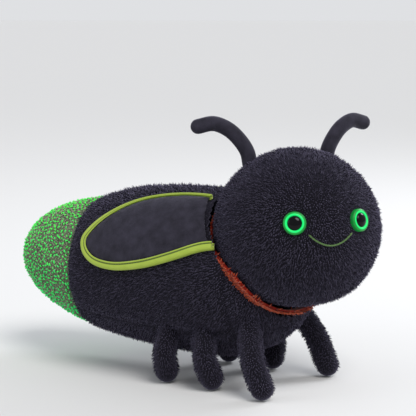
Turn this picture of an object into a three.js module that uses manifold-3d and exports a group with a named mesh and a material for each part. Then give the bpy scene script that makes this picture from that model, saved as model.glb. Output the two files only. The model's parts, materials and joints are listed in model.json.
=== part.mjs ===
// A stuffed firefly: plush skins round loose fibre filling, on six short legs.
// Millimetres, +X forwards, +Y to the animal's left, +Z up, the floor at zero.
import * as THREE from "three";
import { mergeVertices } from "three/addons/utils/BufferGeometryUtils.js";
import Module from "manifold-3d";

const wasm = await Module();
wasm.setup();
const degrees = THREE.MathUtils.degToRad;

// Cloth and clearances
const fabric = 2.4; // plush with its pile pressed flat
const seam_gap = 0.3; // between pieces that are sewn or pressed together
const running_gap = 0.6; // round a part that moves
const overrun = 20; // how far a cutter reaches past what it cuts
const weld = 0.0001; // vertices nearer than this are one

// Body, a barrel on its side that is widest a third of the way back
const body_radius = 73.5;
const body_front_length = 93; // from the widest place to the nose of the barrel
const body_rear_length = 219; // from the widest place to the end of the tail
const body_roundness_share = 2.25; // 2 is an ellipse, more is squarer
const belly_clearance = 23.5;
const belly_seam_angle = degrees(128); // from the top of the back
const tail_length = 97;
const chest_length = 42;

// Head, an orb a little wider than tall, turned towards its right
const head_radius = 72.5;
const head_half_height = 70.5;
const head_forward = 85; // of the body's widest place
const head_rise = 45; // above the body's axis
const head_turn = degrees(-35);
const head_seam_back = 20.5; // the seam over the crown, behind the head's centre

// Neck, where a ring of doubled plush lies as a collar between the head and the body
const collar_thickness = 2.2;
const collar_outer_radius = 48;
const collar_inner_radius = 27;
const neck_mouth_radius = 24; // the hole that the head was filled through
const neck_slope = degrees(28); // below level, towards the body
const cup_gap = 0.9; // between the ring and the hollow of the body that it lies in
const ruff_slope = degrees(35); // below level, towards the body
const ruff_front = 34.5; // from the head's centre to the ruff's free edge, towards the body
const ruff_drop = 30; // below the head's centre, to keep clear of the wings

// Eyes: a domed peg, a glowing ring under it and a lock washer inside the head
const eye_azimuth = degrees(24.5);
const eye_elevation = degrees(11.5);
const ring_radius = 9.6;
const ring_height = 2;
const ring_bevel = 1.1;
const ring_inner_bevel = 0.5;
const dome_radius = 6;
const dome_rise = 1.6; // above the ring
const dome_seat_depth = 0.9; // sunk in the ring
const shank_radius = 2.1;
const shank_length = 15;
const shank_tip_length = 1.6;
const ridge_height = 0.4;
const ridge_pitch = 1.6;
const ridge_crest_share = 0.8; // of the pitch, from the tip
const ridge_end_share = 0.95;
const ridge_start = 5.6; // below the dome
const washer_radius = 7.5;
const washer_thickness = 0.9;
const washer_rim = 1.2;
const washer_rim_height = 1.8;
const petal_count = 6;
const petal_slot_width = 0.9;
const petal_slot_length = 2.6;

// Smile, one line of satin stitch
const smile_azimuth = degrees(15.5);
const smile_end_elevation = degrees(2);
const smile_drop = degrees(7.3);
const smile_thread_radius = 0.7;

// Antennae, stuffed tubes that curl outwards
const antenna_radius = 6.7;
const antenna_side = 36;
const antenna_rise = 33;
const antenna_reach = 45;
const antenna_sweep = degrees(19); // of the curl, backwards from straight out
const antenna_root = 7; // length hidden inside the head
const antenna_flex = degrees(12);
// Each point is a share of the reach, then of the rise
const antenna_shares = [
  [0, 0],
  [0.05, 0.3],
  [0.2, 0.6],
  [0.42, 0.86],
  [0.7, 1],
  [1, 0.93],
];

// Legs
const leg_radius = 11;
const leg_root = 9; // length hidden inside the body
const leg_swing = degrees(12);
const hip_angle = degrees(132); // from the top of the back
const knee_bulge = 5.5;
const foot_radius = 11.6; // of the rounded end
const sole_flat = 0.9; // how much the filling gives under the foot
// Each row is a leg pair: its hip and its foot, forward of the body's widest place, as shares of
// the body's length in front of it, and how far out its foot is, as a share of the body's radius
const leg_rows = [
  { name: "front", hip_share: 0.68, foot_share: 0.914, side_share: 0.735 },
  { name: "middle", hip_share: 0.258, foot_share: 0.312, side_share: 0.667 },
  { name: "rear", hip_share: -0.14, foot_share: -0.215, side_share: 0.667 },
];

// Wings, flat pads that lie on the body, with a glowing ribbon round the edge
const wing_length = 158;
const wing_width = 84.5;
const wing_tip_back = 104; // behind the body's widest place
const wing_lower_angle = degrees(86.5); // where the lowest edge lies, from the top
const wing_thickness = 5.2;
const wing_fabric = 1.2;
const wing_edge_seam = 2.4; // the turned-in seam allowance
const wing_lift = 0.3; // of its lowest place, off the body
const wing_head_gap = 6.5;
const ribbon_thickness = 0.8;
const ribbon_width = 7;
const ribbon_gap = 0.5; // between the ribbon and the wing inside it
const wing_fullness_share = 4; // 2 is a round section, more is flatter in the middle
const wadding_gap = 0.8; // between the wadding and the panels
const wadding_reach_share = 0.86; // of the way from the wing's centre to its edge
// Each point is a share of the wing's length from its tip, then of its width from its low edge
const wing_centre_shares = [0.55, 0.52];
const wing_outline_shares = [
  [0, 0.31],
  [0.05, 0.47],
  [0.16, 0.67],
  [0.31, 0.85],
  [0.5, 0.965],
  [0.68, 1],
  [0.86, 0.98],
  [1, 0.86],
  [1.04, 0.6],
  [1, 0.4],
  [0.86, 0.3],
  [0.69, 0.17],
  [0.47, 0.05],
  [0.25, 0],
  [0.1, 0.05],
  [0.02, 0.17],
];

// How finely the round forms are faceted
const body_sides = 24;
const body_rows = 7;
const head_sides = 24;
const head_rows = 12;
const cup_sides = 32;
const collar_rows = 3;
const limb_sides = 8;
const leg_rows_along = 3;
const antenna_rows = 6;
const tip_rows = 3;
const wing_steps = 20;
const wing_rows = 3;
const ribbon_rows = 2;
const round_sides = 12;
const dome_rows = 3;
const smile_steps = 14;
const thread_sides = 6;

// Places that follow from the sizes
const body_axis_height = belly_clearance + body_radius;
const head_centre = new THREE.Vector3(head_forward, 0, body_axis_height + head_rise);
const tail_seam = tail_length - body_rear_length;
const chest_seam = body_front_length - chest_length;
const cup_radius = head_radius + running_gap + collar_thickness + cup_gap;
const reach = body_rear_length + head_radius;

const palette = {
  night_plush: { color: 0x17141f, roughness: 0.96 },
  velour: { color: 0x1b1924, roughness: 0.88 },
  glow_boucle: { color: 0x8f9c78, roughness: 0.93 },
  orange_plush: { color: 0xb5331a, roughness: 0.94 },
  glow_ribbon: { color: 0x9aa63c, roughness: 0.55 },
  glow_plastic: { color: 0x35d877, roughness: 0.3 },
  black_plastic: { color: 0x08080a, roughness: 0.12 },
  washer_plastic: { color: 0xe8e6df, roughness: 0.5 },
  thread: { color: 0x2f4a2b, roughness: 0.7 },
  filling: { color: 0xf4f2ec, roughness: 1 },
};

// Solids and meshes

function signedVolume(geometry) {
  const at = geometry.getAttribute("position");
  const index = geometry.index;
  const corners = [new THREE.Vector3(), new THREE.Vector3(), new THREE.Vector3()];
  let volume = 0;
  for (let i = 0; i < index.count; i += 3) {
    corners.forEach((corner, k) => corner.fromBufferAttribute(at, index.getX(i + k)));
    volume += corners[0].dot(corners[1].cross(corners[2])) / 6;
  }
  return volume;
}

// A closed geometry, whichever way it faces, as a solid that can be cut and joined
function solid(geometry) {
  const loose = geometry.index ? geometry.toNonIndexed() : geometry;
  const bare = new THREE.BufferGeometry();
  bare.setAttribute("position", loose.getAttribute("position"));
  const merged = mergeVertices(bare, weld);
  const triVerts = new Uint32Array(merged.index.array);
  if (signedVolume(merged) < 0) {
    for (let i = 0; i < triVerts.length; i += 3) {
      [triVerts[i + 1], triVerts[i + 2]] = [triVerts[i + 2], triVerts[i + 1]];
    }
  }
  const vertProperties = merged.attributes.position.array;
  return new wasm.Manifold(new wasm.Mesh({ numProp: 3, vertProperties, triVerts }));
}

function geometryOf(shape) {
  const cut = shape.getMesh();
  const geometry = new THREE.BufferGeometry();
  const places = new Float32Array(cut.vertProperties);
  geometry.setAttribute("position", new THREE.BufferAttribute(places, cut.numProp));
  geometry.setIndex(new THREE.BufferAttribute(new Uint32Array(cut.triVerts), 1));
  return geometry;
}

function joined(shapes) {
  return shapes.reduce((sum, shape) => sum.add(shape));
}

function piece(name, shape, finish) {
  const geometry = shape.isBufferGeometry ? shape : geometryOf(shape);
  const material = new THREE.MeshStandardMaterial({ ...palette[finish], metalness: 0 });
  const mesh = new THREE.Mesh(geometry, material);
  mesh.name = name;
  return mesh;
}

function box(low, high) {
  const size = high.clone().sub(low);
  const middle = low.clone().add(high).multiplyScalar(0.5);
  const geometry = new THREE.BoxGeometry(size.x, size.y, size.z);
  return solid(geometry.translate(middle.x, middle.y, middle.z));
}

// All of space between two places along X, Y or Z, as far as the part reaches
function slab(axis, from, to) {
  const low = new THREE.Vector3(-reach, -reach, -reach);
  const high = new THREE.Vector3(reach, reach, reach).multiplyScalar(2);
  low[axis] = from;
  high[axis] = to;
  return box(low, high);
}

function latheX(points, sides) {
  const outline = points.map(([along, radius]) => new THREE.Vector2(radius, along));
  return new THREE.LatheGeometry(outline, sides).rotateZ(-Math.PI / 2);
}

// The body's form

function bodyRadiusAt(along, offset) {
  const length = along < 0 ? body_rear_length : body_front_length;
  const share = Math.min(1, Math.abs(along) / (length + offset));
  const round = (1 - share ** body_roundness_share) ** (1 / body_roundness_share);
  return (body_radius + offset) * round;
}

function bodyForm(offset) {
  const points = [];
  for (let i = 0; i < 2 * body_rows; i += 1) {
    const turn = (Math.PI / 2) * (i / body_rows - 1);
    const length = turn < 0 ? body_rear_length : body_front_length;
    const along = Math.sin(turn) * (length + offset);
    points.push([along, i === 0 ? 0 : bodyRadiusAt(along, offset)]);
  }
  points.push([body_front_length + offset, 0]);
  return solid(latheX(points, body_sides).translate(0, 0, body_axis_height));
}

// A wedge of space round the body's axis; angles run from the top of the back to the left
function wedge(from, to) {
  const shape = new THREE.Shape();
  const steps = Math.ceil((to - from) / degrees(45));
  for (let i = 0; i <= steps; i += 1) {
    const angle = from + ((to - from) * i) / steps;
    shape.lineTo(reach * Math.sin(angle), reach * Math.cos(angle));
  }
  shape.closePath();
  const geometry = new THREE.ExtrudeGeometry(shape, { depth: 2 * reach, bevelEnabled: false });
  geometry.translate(0, 0, -reach);
  geometry.applyMatrix4(new THREE.Matrix4().makeBasis(
    new THREE.Vector3(0, 1, 0), new THREE.Vector3(0, 0, 1), new THREE.Vector3(1, 0, 0)));
  return solid(geometry.translate(0, 0, body_axis_height));
}

// A point at the body's surface, raised by a height; side is 1 for the left, -1 for the right
function onBody(along, angle, height, side) {
  const radius = bodyRadiusAt(along, 0) + height;
  const across = side * radius * Math.sin(angle);
  return new THREE.Vector3(along, across, body_axis_height + radius * Math.cos(angle));
}

// The head's form, in the head's own frame: +X is the way it faces, the origin its centre

function headForm(offset) {
  const geometry = new THREE.SphereGeometry(1, head_sides, head_rows).rotateX(Math.PI / 2);
  const wide = head_radius + offset;
  return solid(geometry.scale(wide, wide, head_half_height + offset));
}

function headPoint(azimuth, elevation, lift) {
  const direction = new THREE.Vector3(
    Math.cos(elevation) * Math.cos(azimuth),
    Math.cos(elevation) * Math.sin(azimuth),
    Math.sin(elevation),
  );
  const level = Math.hypot(direction.x, direction.y) / head_radius;
  const distance = 1 / Math.hypot(level, direction.z / head_half_height);
  return direction.multiplyScalar(distance + lift);
}

// Turns +Z to the way that the head's surface faces at a point of it
function headNormal(point) {
  const wide = head_radius ** 2;
  const tall = head_half_height ** 2;
  const normal = new THREE.Vector3(point.x / wide, point.y / wide, point.z / tall).normalize();
  return new THREE.Quaternion().setFromUnitVectors(new THREE.Vector3(0, 0, 1), normal);
}

const head_to_body = new THREE.Matrix4()
  .makeRotationZ(head_turn)
  .setPosition(head_centre);
const body_to_head = head_to_body.clone().invert();

// Stuffed tubes

// Lays a turned geometry, whose axis is +Y, along a curve that lies in one plane
function bendAlong(geometry, curve, across) {
  const length = curve.getLength();
  const at = geometry.getAttribute("position");
  for (let i = 0; i < at.count; i += 1) {
    const inside = THREE.MathUtils.clamp(at.getY(i), 0, length);
    const place = curve.getPointAt(inside / length);
    const tangent = curve.getTangentAt(inside / length);
    const normal = tangent.clone().cross(across);
    place.addScaledVector(tangent, at.getY(i) - inside);
    place.addScaledVector(normal, at.getX(i));
    place.addScaledVector(across, at.getZ(i));
    at.setXYZ(i, place.x, place.y, place.z);
  }
  return geometry;
}

// A tube with a flat root, before the curve's start, and a rounded tip past its end
function stuffedTube(tube, root, radiusAt) {
  const length = tube.curve.getLength();
  const tip_radius = radiusAt(length);
  const points = [new THREE.Vector2(0, -root), new THREE.Vector2(radiusAt(-root), -root)];
  for (let i = 0; i <= tube.rows; i += 1) {
    const place = (length * i) / tube.rows;
    points.push(new THREE.Vector2(radiusAt(place), place));
  }
  for (let i = 1; i < tip_rows; i += 1) {
    const turn = (Math.PI / 2) * (i / tip_rows);
    const place = length + tip_radius * Math.sin(turn);
    points.push(new THREE.Vector2(tip_radius * Math.cos(turn), place));
  }
  points.push(new THREE.Vector2(0, length + tip_radius));
  const straight = new THREE.LatheGeometry(points, limb_sides);
  return solid(bendAlong(straight, tube.curve, tube.across));
}

// The skin and the filling of a stuffed tube, and the flared hole that lets its root swing
function tubeSet(tube) {
  const length = tube.curve.getLength();
  const inset = (depth) => (place) => {
    const share = Math.max(0, place) / length;
    return THREE.MathUtils.lerp(tube.radius, tube.tip, share) - depth;
  };
  const flare = Math.tan(tube.swing);
  const room = (place) => tube.radius + running_gap + Math.abs(place) * flare;
  const room_depth = tube.root + running_gap + tube.radius * Math.sin(tube.swing);
  const inside = stuffedTube(tube, tube.root + overrun, inset(fabric));
  return {
    skin: stuffedTube(tube, tube.root, inset(0)).subtract(inside),
    filling: stuffedTube(tube, tube.root, inset(fabric + seam_gap)),
    room: stuffedTube(tube, room_depth, room),
  };
}

// Legs

function makeLeg(row, side) {
  const hip = onBody(row.hip_share * body_front_length, hip_angle, -fabric, side);
  const foot = new THREE.Vector3(
    row.foot_share * body_front_length,
    row.side_share * body_radius * side,
    foot_radius - sole_flat,
  );
  const outwards = new THREE.Vector3(0, side, 0);
  const knee = hip.clone().lerp(foot, 0.5).addScaledVector(outwards, knee_bulge);
  const down = foot.clone().sub(hip);
  const across = down.clone().cross(outwards).normalize();
  const curve = new THREE.CatmullRomCurve3([hip, knee, foot]);
  const leg = tubeSet({
    curve, across, rows: leg_rows_along, root: leg_root, radius: leg_radius, tip: foot_radius,
    swing: leg_swing,
  });
  return { ...leg, skin: leg.skin.subtract(slab("z", -reach, 0)) };
}

const legs = [];
for (const row of leg_rows) {
  for (const [side_name, side] of [["left", 1], ["right", -1]]) {
    legs.push({ name: `leg_${row.name}_${side_name}`, ...makeLeg(row, side) });
  }
}
const leg_rooms = joined(legs.map((leg) => leg.room));

// Antennae, in the head's frame

function makeAntenna(side) {
  const level = Math.hypot(antenna_side, head_seam_back) / head_radius;
  const height = head_half_height * Math.sqrt(1 - level ** 2);
  const base = new THREE.Vector3(-head_seam_back, side * antenna_side, height - fabric);
  const out = new THREE.Vector3(-Math.sin(antenna_sweep), side * Math.cos(antenna_sweep), 0);
  const up = new THREE.Vector3(0, 0, 1);
  const points = antenna_shares.map(([along, rise]) => base.clone()
    .addScaledVector(out, along * antenna_reach)
    .addScaledVector(up, rise * (antenna_rise + fabric)));
  return tubeSet({
    curve: new THREE.CatmullRomCurve3(points), across: out.clone().cross(up),
    rows: antenna_rows, root: antenna_root, radius: antenna_radius, tip: antenna_radius,
    swing: antenna_flex,
  });
}

const antennae = [["left", 1], ["right", -1]].map(([name, side]) => (
  { name: `antenna_${name}`, ...makeAntenna(side) }));
const antenna_rooms = joined(antennae.map((antenna) => antenna.room));

// Eyes, each in its own frame: +Z out of the head, zero at the surface of the plush

function turnedPiece(points) {
  const outline = points.map(([radius, height]) => new THREE.Vector2(radius, height));
  return new THREE.LatheGeometry(outline, round_sides).rotateX(Math.PI / 2);
}

const ring_seat = ring_radius ** 2 / (2 * head_radius); // how far the ring sinks in the pile
const ring_top = ring_height - ring_seat;
const dome_base = ring_top - dome_seat_depth + seam_gap;
const ridge_radius = shank_radius + ridge_height;
const washer_top = -ring_seat - fabric - seam_gap;

function makeRing() {
  const hole = ridge_radius + seam_gap;
  const seat = dome_radius + seam_gap;
  const low = -ring_seat;
  const points = [
    [hole, low],
    [ring_radius - ring_inner_bevel, low],
    [ring_radius, low + ring_inner_bevel],
    [ring_radius, ring_top - ring_bevel],
    [ring_radius - ring_bevel, ring_top],
    [seat + ring_inner_bevel, ring_top],
    [seat, ring_top - ring_inner_bevel],
    [seat, ring_top - dome_seat_depth],
    [hole, ring_top - dome_seat_depth],
    [hole, low],
  ];
  return solid(turnedPiece(points));
}

// The dome and its shank, whose ridges slope in towards the tip so that a washer slides on
function makePeg() {
  const tip = dome_base - shank_length;
  const first = tip + shank_tip_length;
  const ridges = Math.floor((dome_base - ridge_start - first) / ridge_pitch);
  const points = [[0, tip], [shank_radius - ridge_height, tip], [shank_radius, first]];
  for (let i = 0; i < ridges; i += 1) {
    points.push([ridge_radius, first + (i + ridge_crest_share) * ridge_pitch]);
    points.push([shank_radius, first + (i + ridge_end_share) * ridge_pitch]);
  }
  points.push([shank_radius, dome_base], [dome_radius - ring_inner_bevel, dome_base]);
  const rise = ring_top + dome_rise - dome_base - ring_inner_bevel;
  for (let i = 0; i < dome_rows; i += 1) {
    const turn = (Math.PI / 2) * (i / dome_rows);
    const height = dome_base + ring_inner_bevel + rise * Math.sin(turn);
    points.push([dome_radius * Math.cos(turn), height]);
  }
  points.push([0, dome_base + ring_inner_bevel + rise]);
  return solid(turnedPiece(points));
}

// The lock washer: a disc with spring petals round the shank and a stiffening rim
function makeWasher() {
  const bore = ridge_radius + seam_gap / 2;
  const low = washer_top - washer_thickness;
  const rim_low = washer_top - washer_rim_height;
  const disc = solid(turnedPiece([
    [bore, low],
    [washer_radius - washer_rim, low],
    [washer_radius - washer_rim, rim_low],
    [washer_radius, rim_low],
    [washer_radius, washer_top],
    [bore, washer_top],
    [bore, low],
  ]));
  const deep = 2 * washer_thickness;
  const slots = [];
  for (let i = 0; i < petal_count; i += 1) {
    const slot = new THREE.BoxGeometry(petal_slot_length, petal_slot_width, deep);
    slot.translate(bore + petal_slot_length / 2 - seam_gap, 0, washer_top - washer_thickness / 2);
    slots.push(solid(slot.rotateZ((2 * Math.PI * i) / petal_count)));
  }
  return disc.subtract(joined(slots));
}

const eye_places = [["left", 1], ["right", -1]].map(([name, side]) => {
  const position = headPoint(side * eye_azimuth, eye_elevation, 0);
  return { name, position, quaternion: headNormal(position) };
});

// The flat that the ring presses in the face, and the shank's hole and the washer's room behind it
function eyeCut(eye, parts) {
  const cuts = parts.map(([radius, low, high]) => {
    const geometry = new THREE.CylinderGeometry(radius, radius, high - low, round_sides);
    geometry.rotateX(Math.PI / 2).translate(0, 0, (low + high) / 2);
    geometry.applyQuaternion(eye.quaternion);
    return solid(geometry.translate(eye.position.x, eye.position.y, eye.position.z));
  });
  return joined(cuts);
}

const shank_hole = ridge_radius + seam_gap;
const face_cuts = joined(eye_places.map((eye) => eyeCut(eye, [
  [ring_radius + seam_gap, -ring_seat - seam_gap, overrun],
  [shank_hole, -overrun, overrun],
  [washer_radius + seam_gap, -overrun, washer_top + seam_gap],
])));
const filling_cuts = joined(eye_places.map((eye) => eyeCut(eye, [
  [washer_radius + running_gap, washer_top - washer_rim_height - seam_gap, overrun],
  [shank_hole, dome_base - shank_length - seam_gap, overrun],
])));

// Smile, a thread that follows the face

function makeSmile() {
  const points = [];
  for (let i = 0; i <= smile_steps; i += 1) {
    const share = (2 * i) / smile_steps - 1;
    const elevation = smile_end_elevation - smile_drop * (1 - share ** 2);
    points.push(headPoint(share * smile_azimuth, elevation, smile_thread_radius + seam_gap));
  }
  const section = new THREE.Shape().absarc(0, 0, smile_thread_radius, 0, 2 * Math.PI);
  const extrudePath = new THREE.CatmullRomCurve3(points);
  const options = { steps: smile_steps, curveSegments: thread_sides / 2, extrudePath };
  return solid(new THREE.ExtrudeGeometry(section, options));
}

// Neck, with the collar lying between the head and the body's filling

const neck_direction = new THREE.Vector3(-Math.cos(neck_slope), 0, -Math.sin(neck_slope));
const towards_body = new THREE.Quaternion()
  .setFromUnitVectors(new THREE.Vector3(0, 1, 0), neck_direction);

function makeCollar() {
  const inner = head_radius + running_gap;
  const outer = inner + collar_thickness;
  const points = [];
  for (const [radius, from, to] of [
    [outer, collar_inner_radius, collar_outer_radius],
    [inner, collar_outer_radius, collar_inner_radius],
  ]) {
    for (let i = 0; i <= collar_rows; i += 1) {
      const across = THREE.MathUtils.lerp(from, to, i / collar_rows);
      points.push(new THREE.Vector2(across, Math.sqrt(radius ** 2 - across ** 2)));
    }
  }
  points.push(points[0].clone());
  const geometry = new THREE.LatheGeometry(points, head_sides).applyQuaternion(towards_body);
  return solid(geometry.translate(head_centre.x, head_centre.y, head_centre.z));
}

// The band of the same plush that stands on the body's rim, round the head
function makeRuff() {
  const outside = new THREE.SphereGeometry(cup_radius + collar_thickness, cup_sides, cup_sides / 2);
  const behind = box(
    new THREE.Vector3(-reach, -reach, -reach),
    new THREE.Vector3(-ruff_front, reach, reach),
  );
  const tilt = new THREE.Matrix4().makeRotationY(-ruff_slope).setPosition(head_centre);
  return solid(outside.translate(head_centre.x, head_centre.y, head_centre.z))
    .subtract(cup)
    .subtract(bodyForm(seam_gap))
    .intersect(behind.transform(tilt.elements.slice()))
    .intersect(slab("z", 0, head_centre.z - ruff_drop));
}

function neckMouth() {
  const length = head_radius + overrun;
  const geometry = new THREE.CylinderGeometry(neck_mouth_radius, neck_mouth_radius, length, head_sides);
  geometry.translate(0, length / 2, 0).applyQuaternion(towards_body);
  geometry.translate(head_centre.x, head_centre.y, head_centre.z);
  return solid(geometry.applyMatrix4(body_to_head));
}

// Head

const head_shell = headForm(0).subtract(headForm(-fabric)).subtract(antenna_rooms);
const behind_seam = slab("x", -reach, -head_seam_back - seam_gap / 2);
const before_seam = slab("x", -head_seam_back + seam_gap / 2, reach);
const head_face = head_shell.intersect(before_seam).subtract(face_cuts);
const head_back = head_shell.intersect(behind_seam).subtract(neckMouth());
const head_filling = headForm(-fabric - seam_gap)
  .subtract(antenna_rooms)
  .subtract(filling_cuts);

// Body skins

const cup = solid(new THREE.SphereGeometry(cup_radius, cup_sides, cup_sides / 2)
  .translate(head_centre.x, head_centre.y, head_centre.z));
const body_shell = bodyForm(0).subtract(bodyForm(-fabric)).subtract(cup).subtract(leg_rooms);
const tail_zone = slab("x", -reach, tail_seam - seam_gap / 2);
const torso_zone = slab("x", tail_seam + seam_gap / 2, chest_seam - seam_gap / 2);
const chest_zone = slab("x", chest_seam + seam_gap / 2, reach);
const left_half = slab("y", seam_gap / 2, reach);
const right_half = slab("y", -reach, -seam_gap / 2);
const seam_turn = seam_gap / (2 * body_radius);
const side_zone = wedge(-belly_seam_angle + seam_turn, belly_seam_angle - seam_turn);
const belly_zone = wedge(belly_seam_angle + seam_turn, 2 * Math.PI - belly_seam_angle - seam_turn);
const torso = body_shell.intersect(torso_zone);
const body_filling = bodyForm(-fabric - seam_gap).subtract(cup).subtract(leg_rooms);

// Wings

const wing_middle = wing_lift + wing_thickness / 2 + ribbon_gap + ribbon_thickness;
const head_room = solid(new THREE.SphereGeometry(head_radius + wing_head_gap, head_sides, head_rows)
  .translate(head_centre.x, head_centre.y, head_centre.z));
const wing_place = ([along, up]) => new THREE.Vector3(along * wing_length, up * wing_width, 0);
const wing_outline = new THREE.CatmullRomCurve3(wing_outline_shares.map(wing_place), true);
const wing_edge = wing_outline.getPoints(wing_steps);
const wing_centre = wing_place(wing_centre_shares);

// Half the wing's thickness at a share of the way from its centre to its edge
function wingHalf(share) {
  return (wing_thickness / 2) * Math.sqrt(1 - Math.min(1, share) ** wing_fullness_share);
}

// A piece of the wing, turned round the wing's centre and then laid on the body. Each row of its
// section is a share of the way out, an inset from the edge, the face (1 upper, -1 under) and a
// height above that face; the lathe only numbers the rows.
function wingPiece(rows, side) {
  const section = rows.map((row, i) => new THREE.Vector2(row.out, i));
  const geometry = new THREE.LatheGeometry(section, wing_steps);
  const at = geometry.getAttribute("position");
  for (let i = 0; i < at.count; i += 1) {
    const { out, inset, face, lift } = rows[i % rows.length];
    const step = Math.floor(i / rows.length) % wing_steps;
    const spoke = wing_edge[step].clone().sub(wing_centre);
    const share = (out * (spoke.length() - inset)) / spoke.length();
    const spot = spoke.multiplyScalar(share).add(wing_centre);
    const height = face * Math.max(wingHalf(share) + lift, seam_gap / 2);
    const angle = wing_lower_angle - spot.y / body_radius;
    const point = onBody(spot.x - wing_tip_back, angle, wing_middle + height, side);
    at.setXYZ(i, point.x, point.y, point.z);
  }
  return solid(geometry).subtract(head_room);
}

function spread(count, make) {
  return Array.from({ length: count + 1 }, (_, i) => make(i / count));
}

const arc = (share) => Math.sin((Math.PI / 2) * share);

function panelRows(face) {
  const skin = spread(wing_rows, (share) => ({ out: arc(share), inset: 0, face, lift: 0 }));
  const lining = { inset: wing_edge_seam, face, lift: -wing_fabric };
  return [...skin, ...spread(wing_rows, (share) => ({ out: arc(1 - share), ...lining }))];
}

function waddingRows() {
  const place = { inset: wing_edge_seam, lift: -wing_fabric - wadding_gap };
  const row = (face) => (share) => (
    { out: Math.min(wadding_reach_share, arc(share)), face, ...place });
  const rows = (face) => spread(wing_rows, row(face)).slice(0, wing_rows);
  return [...rows(1), ...rows(-1).reverse()];
}

// The ribbon is folded over the edge, so its section is a thin hairpin
function ribbonRows() {
  const layer = (face, lift) => spread(ribbon_rows, (share) => (
    { out: 1, inset: ribbon_width * (1 - share), face, lift }));
  const fold = (lift) => ({ out: 1, inset: -lift, face: 0, lift: 0 });
  const outer = ribbon_gap + ribbon_thickness;
  const rows = [
    ...layer(1, outer), fold(outer), ...layer(-1, outer).reverse(),
    ...layer(-1, ribbon_gap), fold(ribbon_gap), ...layer(1, ribbon_gap).reverse(),
  ];
  return [...rows, rows[0]];
}

// The assembly

const body = new THREE.Group();
body.add(
  piece("body_side_left", torso.intersect(side_zone).intersect(left_half), "night_plush"),
  piece("body_side_right", torso.intersect(side_zone).intersect(right_half), "night_plush"),
  piece("belly_panel", torso.intersect(belly_zone), "night_plush"),
  piece("tail_left", body_shell.intersect(tail_zone).intersect(left_half), "glow_boucle"),
  piece("tail_right", body_shell.intersect(tail_zone).intersect(right_half), "glow_boucle"),
  piece("chest", body_shell.intersect(chest_zone), "night_plush"),
  piece("body_filling", body_filling, "filling"),
  piece("collar", makeCollar(), "orange_plush"),
  piece("collar_ruff", makeRuff(), "orange_plush"),
);
for (const leg of legs) {
  body.add(piece(leg.name, leg.skin, "night_plush"));
  body.add(piece(`${leg.name}_filling`, leg.filling, "filling"));
}
for (const [name, side] of [["left", 1], ["right", -1]]) {
  body.add(
    piece(`wing_upper_${name}`, wingPiece(panelRows(1), side), "velour"),
    piece(`wing_under_${name}`, wingPiece(panelRows(-1), side), "velour"),
    piece(`wing_wadding_${name}`, wingPiece(waddingRows(), side), "filling"),
    piece(`wing_ribbon_${name}`, wingPiece(ribbonRows(), side), "glow_ribbon"),
  );
}

const head = new THREE.Group();
head.position.copy(head_centre);
head.rotation.z = head_turn;
head.add(
  piece("head_face", head_face, "night_plush"),
  piece("head_back", head_back, "night_plush"),
  piece("head_filling", head_filling, "filling"),
  piece("smile_stitch", makeSmile(), "thread"),
);
for (const antenna of antennae) {
  head.add(piece(antenna.name, antenna.skin, "velour"));
  head.add(piece(`${antenna.name}_filling`, antenna.filling, "filling"));
}
for (const place of eye_places) {
  const eye = new THREE.Group();
  eye.position.copy(place.position);
  eye.quaternion.copy(place.quaternion);
  eye.add(
    piece(`eye_${place.name}`, makePeg(), "black_plastic"),
    piece(`eye_ring_${place.name}`, makeRing(), "glow_plastic"),
    piece(`eye_washer_${place.name}`, makeWasher(), "washer_plastic"),
  );
  head.add(eye);
}

// The origin is on the floor under the middle of the whole
const firefly = new THREE.Group();
firefly.add(body, head);
firefly.updateMatrixWorld(true);
const middle = new THREE.Box3().setFromObject(firefly, true).getCenter(new THREE.Vector3());
firefly.position.set(-middle.x, -middle.y, 0);

export default firefly;
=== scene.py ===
# %% [markdown]
# # A stuffed firefly that glows in the dark
# The toy is cut from dark plush, sewn into a barrel of a body with a round head, and stuffed with
# loose fibre. Its tail, its eye rings and the ribbon round its wings hold afterglow pigment. The
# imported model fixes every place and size, and this script gives each piece its cloth and its shape.

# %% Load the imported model
import contextlib
import json
import math

import bmesh
import bpy
import numpy as np
from mathutils import Matrix, Vector


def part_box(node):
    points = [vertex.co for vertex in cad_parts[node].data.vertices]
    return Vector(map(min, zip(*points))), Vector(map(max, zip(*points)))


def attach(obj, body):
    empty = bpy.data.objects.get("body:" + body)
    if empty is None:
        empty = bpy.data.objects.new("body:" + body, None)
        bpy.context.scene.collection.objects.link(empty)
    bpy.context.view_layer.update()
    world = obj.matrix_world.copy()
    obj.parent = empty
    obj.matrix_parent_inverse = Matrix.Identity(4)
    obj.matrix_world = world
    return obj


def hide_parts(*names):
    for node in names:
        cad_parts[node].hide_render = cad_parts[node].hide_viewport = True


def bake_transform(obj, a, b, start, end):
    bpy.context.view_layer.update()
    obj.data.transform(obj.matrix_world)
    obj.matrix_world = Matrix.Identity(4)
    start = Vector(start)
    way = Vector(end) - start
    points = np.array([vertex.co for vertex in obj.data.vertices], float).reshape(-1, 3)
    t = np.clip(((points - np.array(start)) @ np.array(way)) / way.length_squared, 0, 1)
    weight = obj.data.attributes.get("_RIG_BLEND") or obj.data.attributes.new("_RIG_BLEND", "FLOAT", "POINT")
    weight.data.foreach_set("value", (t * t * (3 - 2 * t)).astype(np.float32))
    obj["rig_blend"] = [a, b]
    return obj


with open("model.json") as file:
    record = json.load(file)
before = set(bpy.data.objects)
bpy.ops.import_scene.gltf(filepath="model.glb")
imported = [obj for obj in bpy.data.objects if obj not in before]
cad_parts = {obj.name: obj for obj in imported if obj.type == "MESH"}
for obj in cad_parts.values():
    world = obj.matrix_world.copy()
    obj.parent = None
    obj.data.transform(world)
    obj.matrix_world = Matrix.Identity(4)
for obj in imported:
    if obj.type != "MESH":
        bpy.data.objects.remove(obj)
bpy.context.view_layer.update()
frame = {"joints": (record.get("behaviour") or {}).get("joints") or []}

mm = 0.001
sides = (("left", 1), ("right", -1))
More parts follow.
